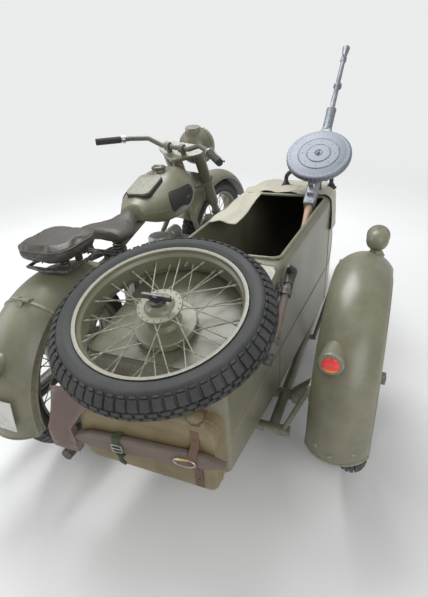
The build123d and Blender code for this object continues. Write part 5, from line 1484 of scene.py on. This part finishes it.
def marker_lamp():
    shape = Shape()
    low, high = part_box("marker_lamp")
    radius = (high.x - low.x) / 2
    middle = Vector(((low.x + high.x) / 2, low.y + radius, high.z - radius))
    reach = high.y - middle.y
    body = [(reach - 0.002, radius - 0.006), (reach, radius - 0.002), (reach - 0.002, radius - 0.0005),
            (reach - 0.010, radius - 0.0005), (reach - 0.012, radius - 0.003)]
    for k in range(17):
        t = k / 16 * math.pi / 2
        body.append((-(radius - 0.0005) * math.sin(t), (radius - 0.003) * math.cos(t) + 0.0003))
    shape.lathe(body, middle, (0, 1, 0), 40)
    shape.lathe(((-0.05, 0.030), (-0.03, 0.018), (0.0, 0.015)), middle + Vector((0, 0, -0.005)),
                (0, 0, 1), 24)
    shape.bolt(middle + Vector((0, 0.02, radius - 0.002)), (0, 0, 1), 0.004, 0.003)
    shape.done("marker_lamp_shell", "olive_paint", "chassis", ("marker_lamp",), angle=50.0)
    lens_dome("marker_lamp_lens", middle + Vector((0, reach - 0.004, 0)), (0, 1, 0), radius - 0.006,
              0.004, "clear_lens", "chassis")


marker_lamp()


def side_tool():
    high = at(0.812, 0.226, 0.712)
    low = at(0.812, -0.070, 0.556)
    run = (high - low).normalized()
    across = Vector((1, 0, 0))
    flat = run.cross(across)
    grip = Shape()
    steps = 22
    points = [low + (high - low) * k / steps for k in range(steps + 1)]
    radii = [0.0125 + 0.0025 * math.sin(math.pi * min(1.0, k / steps * 1.3)) ** 2 + 0.0004 * noise.noise(
        Vector((k * 0.9, 0, 0))) for k in range(steps + 1)]
    grip.tube(points, radii, 16)
    grip.done("side_tool_handle", "grey_wood", "chassis", ("side_tool",), angle=60.0)
    iron = Shape()
    rings = []
    for k in range(17):
        s = -0.064 + 0.128 * k / 16
        half = 0.015 * (1 - abs(s) / 0.085)
        tall = 0.019 * (1 - 0.72 * abs(s) / 0.066)
        bend = 0.020 * (s / 0.064) ** 2
        centre = high + flat * s - run * bend
        rings.append([centre + across * x + run * y for x, y in rounded_loop(half, tall, 0.005, 2)])
    iron.rings(rings)
    iron.lathe(((-0.05, 0.0165), (-0.02, 0.0175), (0.0, 0.019), (0.012, 0.018)), high, run, 20)
    iron.lathe(((0.0, 0.0160), (0.03, 0.0168), (0.032, 0.0155)), low - run * 0.004, run, 20)
    iron.done("side_tool_iron", "black_steel", "chassis", angle=40.0)
    clips = Shape()
    for share in (0.24, 0.76):
        spot = low + (high - low) * share
        clips.lathe(((-0.013, 0.0152), (-0.013, 0.0185), (0.013, 0.0185), (0.013, 0.0152)), spot, run, 24,
                    closed=True)
        inner = tub_row((spot - REAR).y)
        wall = at(inner[1] + inner[2], 0, 0).x
        clips.box(Vector(((wall + spot.x - 0.016) / 2, spot.y, spot.z)),
                  (max(spot.x - 0.016 - wall, 0.004), 0.022, 0.020), bevel=0.002)
        clips.box(Vector((wall + 0.003, spot.y, spot.z)), (0.005, 0.030, 0.052), bevel=0.0015)
        for z in (-0.019, 0.019):
            clips.bolt(Vector((wall + 0.005, spot.y, spot.z + z)), (1, 0, 0), 0.004, 0.003)
    clips.done("side_tool_clips", "black_steel", "chassis", angle=40.0)


side_tool()


# Gun
GUN_PIVOT = Vector(JOINTS["gun_elevation"]["pos_m"])
GUN_ELEVATION = 33.0
GUN_RISE = math.radians(GUN_ELEVATION)
BARREL = Vector((0, math.cos(GUN_RISE), math.sin(GUN_RISE)))
GUN_UP = Vector((0, -math.sin(GUN_RISE), math.cos(GUN_RISE)))
GUN_SIDE = Vector((1, 0, 0))
GUN_AXES = (GUN_SIDE, BARREL, GUN_UP)


def gun_at(x, along, above):
    return GUN_PIVOT + GUN_SIDE * x + BARREL * along + GUN_UP * above


def gun_pan():
    shape = Shape()
    low = gun_at(0, 0, 0.0344)
    profile = [(0.0, 0.120), (0.0, 0.138), (0.003, 0.1415), (0.008, 0.142), (0.022, 0.142),
               (0.026, 0.141), (0.0285, 0.138), (0.0295, 0.133), (0.0288, 0.128), (0.0300, 0.120),
               (0.0315, 0.092), (0.0330, 0.0905), (0.0348, 0.0890), (0.0348, 0.0865), (0.0335, 0.0850),
               (0.0335, 0.0545), (0.0350, 0.0530), (0.0370, 0.0515), (0.0370, 0.0490), (0.0355, 0.0475),
               (0.0355, 0.0180), (0.0375, 0.0165), (0.0380, 0.0150), (0.0370, 0.0130), (0.0365, 0.0085)]
    shape.lathe(profile, low, GUN_UP, 96)
    for k, turn in enumerate(circle(40)):
        out = around(GUN_SIDE, BARREL, turn)
        shape.rivet(low + out * 0.126 + GUN_UP * 0.0288, GUN_UP, 0.0028)
        if k % 5 == 0:
            shape.rivet(low + out * 0.072 + GUN_UP * 0.0335, GUN_UP, 0.0028)
    for turn in circle(48):
        out = around(GUN_SIDE, BARREL, turn)
        shape.tube([low + out * 0.1415 + GUN_UP * 0.006, low + out * 0.1415 + GUN_UP * 0.023], 0.0016, 5)
    shape.lathe(((0.034, 0.0075), (0.040, 0.007), (0.0415, 0.005)), low, GUN_UP, 20)
    shape.tube([low + GUN_UP * 0.0405 - BARREL * 0.010, low + GUN_UP * 0.0405 + BARREL * 0.012], 0.0022,
               8)
    shape.done("gun_pan_detail", "gun_metal", "gun_body_group", ("gun_pan",), angle=35.0)


def gun_body():
    shape = Shape()
    shape.box(gun_at(0, -0.03, 0.006), (0.046, 0.44, 0.054), GUN_AXES, 0.004)
    shape.box(gun_at(0, -0.03, 0.031), (0.034, 0.42, 0.006), GUN_AXES, 0.002)
    for side in (-1, 1):
        shape.box(gun_at(side * 0.0232, -0.06, 0.004), (0.002, 0.30, 0.014), GUN_AXES, 0.0008)
        for along in (-0.23, -0.16, -0.02, 0.08, 0.17):
            shape.rivet(gun_at(side * 0.023, along, -0.012), GUN_SIDE * side, 0.004)
    # Cocking handle on the right and rear sight on top
    shape.tube([gun_at(0.023, -0.10, 0.010), gun_at(0.046, -0.102, 0.012), gun_at(0.052, -0.106, 0.016)],
               [0.006, 0.006, 0.008], 10)
    shape.box(gun_at(0, -0.185, 0.041), (0.030, 0.050, 0.016), GUN_AXES, 0.003)
    shape.box(gun_at(0, -0.178, 0.058), (0.020, 0.006, 0.022), GUN_AXES, 0.002)
    # Perforated barrel jacket
    shape.lathe(((0.0, 0.0238), (0.012, 0.0238), (0.014, 0.0215), (0.132, 0.0215), (0.136, 0.0235),
                 (0.144, 0.0235), (0.147, 0.015)), gun_at(0, 0.188, 0.012), BARREL, 32)
    for row in range(6):
        for turn in circle(8, 0.5 * (row % 2)):
            out = around(GUN_SIDE, GUN_UP, turn)
            spot = gun_at(0, 0.212 + row * 0.019, 0.012) + out * 0.0208
            shape.lathe(((0.0, 0.0052), (0.0013, 0.0052), (0.0013, 0.0036), (0.0, 0.0030)), spot, out, 12)
    shape.lathe(((0.0, 0.0125), (0.10, 0.0125), (0.102, 0.0112), (0.44, 0.0105)), gun_at(0, 0.330, 0.012),
                BARREL, 24)
    for k in range(9):
        shape.lathe(((0.0, 0.011), (0.001, 0.0128), (0.004, 0.0128), (0.005, 0.011)),
                    gun_at(0, 0.345 + k * 0.0085, 0.012), BARREL, 24)
    shape.lathe(((0.0, 0.012), (0.006, 0.0150), (0.030, 0.0150), (0.036, 0.0125), (0.050, 0.0125),
                 (0.105, 0.0185), (0.109, 0.0188), (0.109, 0.0160), (0.060, 0.0095)),
                gun_at(0, 0.680, 0.012), BARREL, 28)
    shape.box(gun_at(0, 0.70, 0.033), (0.004, 0.010, 0.020), GUN_AXES, 0.001)
    # Gas tube under the barrel with its ring
    shape.tube([gun_at(0, 0.20, -0.016), gun_at(0, 0.52, -0.012)], 0.0075, 14)
    shape.lathe(((0.0, 0.020), (0.014, 0.020)), gun_at(0, 0.506, 0.002), BARREL, 20)
    shape.lathe(((-0.042, 0.0076), (0.042, 0.0076)), GUN_PIVOT, GUN_SIDE, 24)
    for side in (-1, 1):
        shape.lathe(((0.0, 0.012), (0.006, 0.012), (0.008, 0.009)), GUN_PIVOT + GUN_SIDE * side * 0.036,
                    GUN_SIDE * side, 6)
    # Trigger guard
    guard = [gun_at(0, -0.215, -0.018), gun_at(0, -0.212, -0.033), gun_at(0, -0.190, -0.039),
             gun_at(0, -0.168, -0.033), gun_at(0, -0.160, -0.018)]
    shape.tube(guard, 0.0025, 8)
    shape.tube([gun_at(0, -0.188, -0.018), gun_at(0, -0.191, -0.028), gun_at(0, -0.186, -0.034)],
               [0.003, 0.0026, 0.002], 8)
    shape.done("gun_body_detail", "gun_metal", "gun_body_group", ("gun_body",), angle=35.0)


def gun_stock():
    shape = Shape()
    # Place along the bore from the pivot, middle above the bore line, half height, half width
    rows = [(-0.2502, -0.004, 0.020, 0.0165), (-0.258, -0.004, 0.0215, 0.0178),
            (-0.285, -0.006, 0.0190, 0.0160), (-0.330, -0.010, 0.0170, 0.0150),
            (-0.380, -0.013, 0.0195, 0.0160), (-0.430, -0.015, 0.0235, 0.0172),
            (-0.470, -0.016, 0.0265, 0.0176), (-0.490, -0.016, 0.0275, 0.0176),
            (-0.497, -0.016, 0.0262, 0.0165), (-0.4995, -0.016, 0.0225, 0.0130)]
    rings = []
    for along, above, tall, wide in rows:
        rings.append([gun_at(wide * math.cos(t), along, above + tall * math.sin(t))
                      for t in circle(28)])
    shape.rings(rings)
    grip = []
    for k in range(12):
        t = k / 11
        base = gun_at(0, -0.230 - 0.032 * t, -0.020 - 0.070 * t)
        along = 0.015 * (1 - 0.15 * math.sin(math.pi * t)) * (0.8 if k == 11 else 1.0)
        grip.append([base + GUN_SIDE * 0.0135 * math.cos(a) + BARREL * along * math.sin(a)
                     for a in circle(18)])
    shape.rings(grip)
    shape.done("gun_stock_detail", "wood", "gun_body_group", ("gun_stock",), angle=60.0)
    metal = Shape()
    metal.lathe(((-0.003, 0.012), (0.0, 0.012)), gun_at(0, -0.4990, -0.016), -BARREL, 16)
    loop = [gun_at(0.010 * math.cos(t), -0.44, -0.0455 + 0.009 * math.sin(t)) for t in circle(16)]
    metal.tube(loop, 0.0018, 6, loop=True)
    metal.done("gun_stock_fittings", "gun_metal", "gun_body_group", angle=50.0)


gun_pan()
gun_body()
gun_stock()


# Floor, light and finish
FLOOR_HALF = 30
floor_data = bpy.data.meshes.new("floor")
floor_data.from_pydata([(x * FLOOR_HALF, y * FLOOR_HALF, 0)
                        for x, y in ((-1, -1), (1, -1), (1, 1), (-1, 1))],
                       [], [(0, 1, 2, 3)])
floor = linked("floor", floor_data)


def pale_material():
    """Pale studio floor: seen directly it is near white, and it still takes the object's shadow."""
    made, tree, shader = graph("floor_pale")
    cloud = noise_of(tree, 0.7, 3.0)
    tree.links.new(ramp(tree, cloud, ((0.3, (0.72, 0.72, 0.715)), (0.7, (0.76, 0.76, 0.755)))),
                   shader.inputs["Base Color"])
    shader.inputs["Roughness"].default_value = 0.9
    shader.inputs["Specular IOR Level"].default_value = 0.1
    return made


floor_data.materials.append(pale_material())
world = bpy.data.worlds.new("studio")
bpy.context.scene.world = world
world.use_nodes = True
background = world.node_tree.nodes["Background"]
background.inputs[0].default_value = (0.86, 0.88, 0.9, 1.0)
background.inputs[1].default_value = 0.55


def pale_for_camera(tree, shader, share=None):
    """Mixes a plain pale glow into a shader for rays that come from the camera or through glass."""
    rays = tree.nodes.new("ShaderNodeLightPath")
    seen = node(tree, "ShaderNodeMath", operation="MAXIMUM")
    tree.links.new(rays.outputs["Is Camera Ray"], seen.inputs[0])
    tree.links.new(rays.outputs["Is Transmission Ray"], seen.inputs[1])
    amount = seen.outputs[0]
    if share is not None:
        amount = times(tree, amount, share)
    glow = tree.nodes.new("ShaderNodeEmission" if share is not None else "ShaderNodeBackground")
    glow.inputs[0].default_value = (0.83, 0.835, 0.84, 1.0)
    glow.inputs[1].default_value = 1.0
    blend = tree.nodes.new("ShaderNodeMixShader")
    tree.links.new(amount, blend.inputs[0])
    tree.links.new(shader.outputs[0], blend.inputs[1])
    tree.links.new(glow.outputs[0], blend.inputs[2])
    return blend


world_tree = world.node_tree
world_tree.links.new(pale_for_camera(world_tree, background).outputs[0],
                     world_tree.nodes["World Output"].inputs[0])
floor_tree = floor_data.materials[0].node_tree
spot = floor_tree.nodes.new("ShaderNodeNewGeometry")
away = node(floor_tree, "ShaderNodeVectorMath", operation="LENGTH")
floor_tree.links.new(spot.outputs["Position"], away.inputs[0])
reach = node(floor_tree, "ShaderNodeMapRange", interpolation_type="SMOOTHSTEP")
reach.inputs["From Min"].default_value = 1.6
reach.inputs["From Max"].default_value = 4.5
floor_tree.links.new(away.outputs["Value"], reach.inputs["Value"])
faded = pale_for_camera(floor_tree, floor_tree.nodes["Principled BSDF"], reach.outputs["Result"])
floor_tree.links.new(faded.outputs[0], floor_tree.nodes["Material Output"].inputs[0])


def area_light(name, spot, target, size, power, colour=(1, 1, 1)):
    data = bpy.data.lights.new(name, "AREA")
    data.shape = "RECTANGLE"
    data.size, data.size_y = size
    data.energy = power
    data.color = colour
    lamp = linked(name, data)
    lamp.location = spot
    lamp.rotation_euler = (Vector(target) - Vector(spot)).to_track_quat("-Z", "Y").to_euler()


area_light("key", (-1.2, 1.6, 4.6), (0, 0, 0.5), (2.6, 2.6), 210.0, (0.98, 0.99, 1.0))
area_light("fill", (3.2, -3.2, 3.0), (0, 0, 0.4), (3.0, 2.6), 95.0, (1.0, 0.985, 0.965))
area_light("side", (-3.8, -1.4, 2.4), (0, 0, 0.5), (3.0, 2.6), 60.0)
bpy.context.scene.view_settings.view_transform = "Standard"
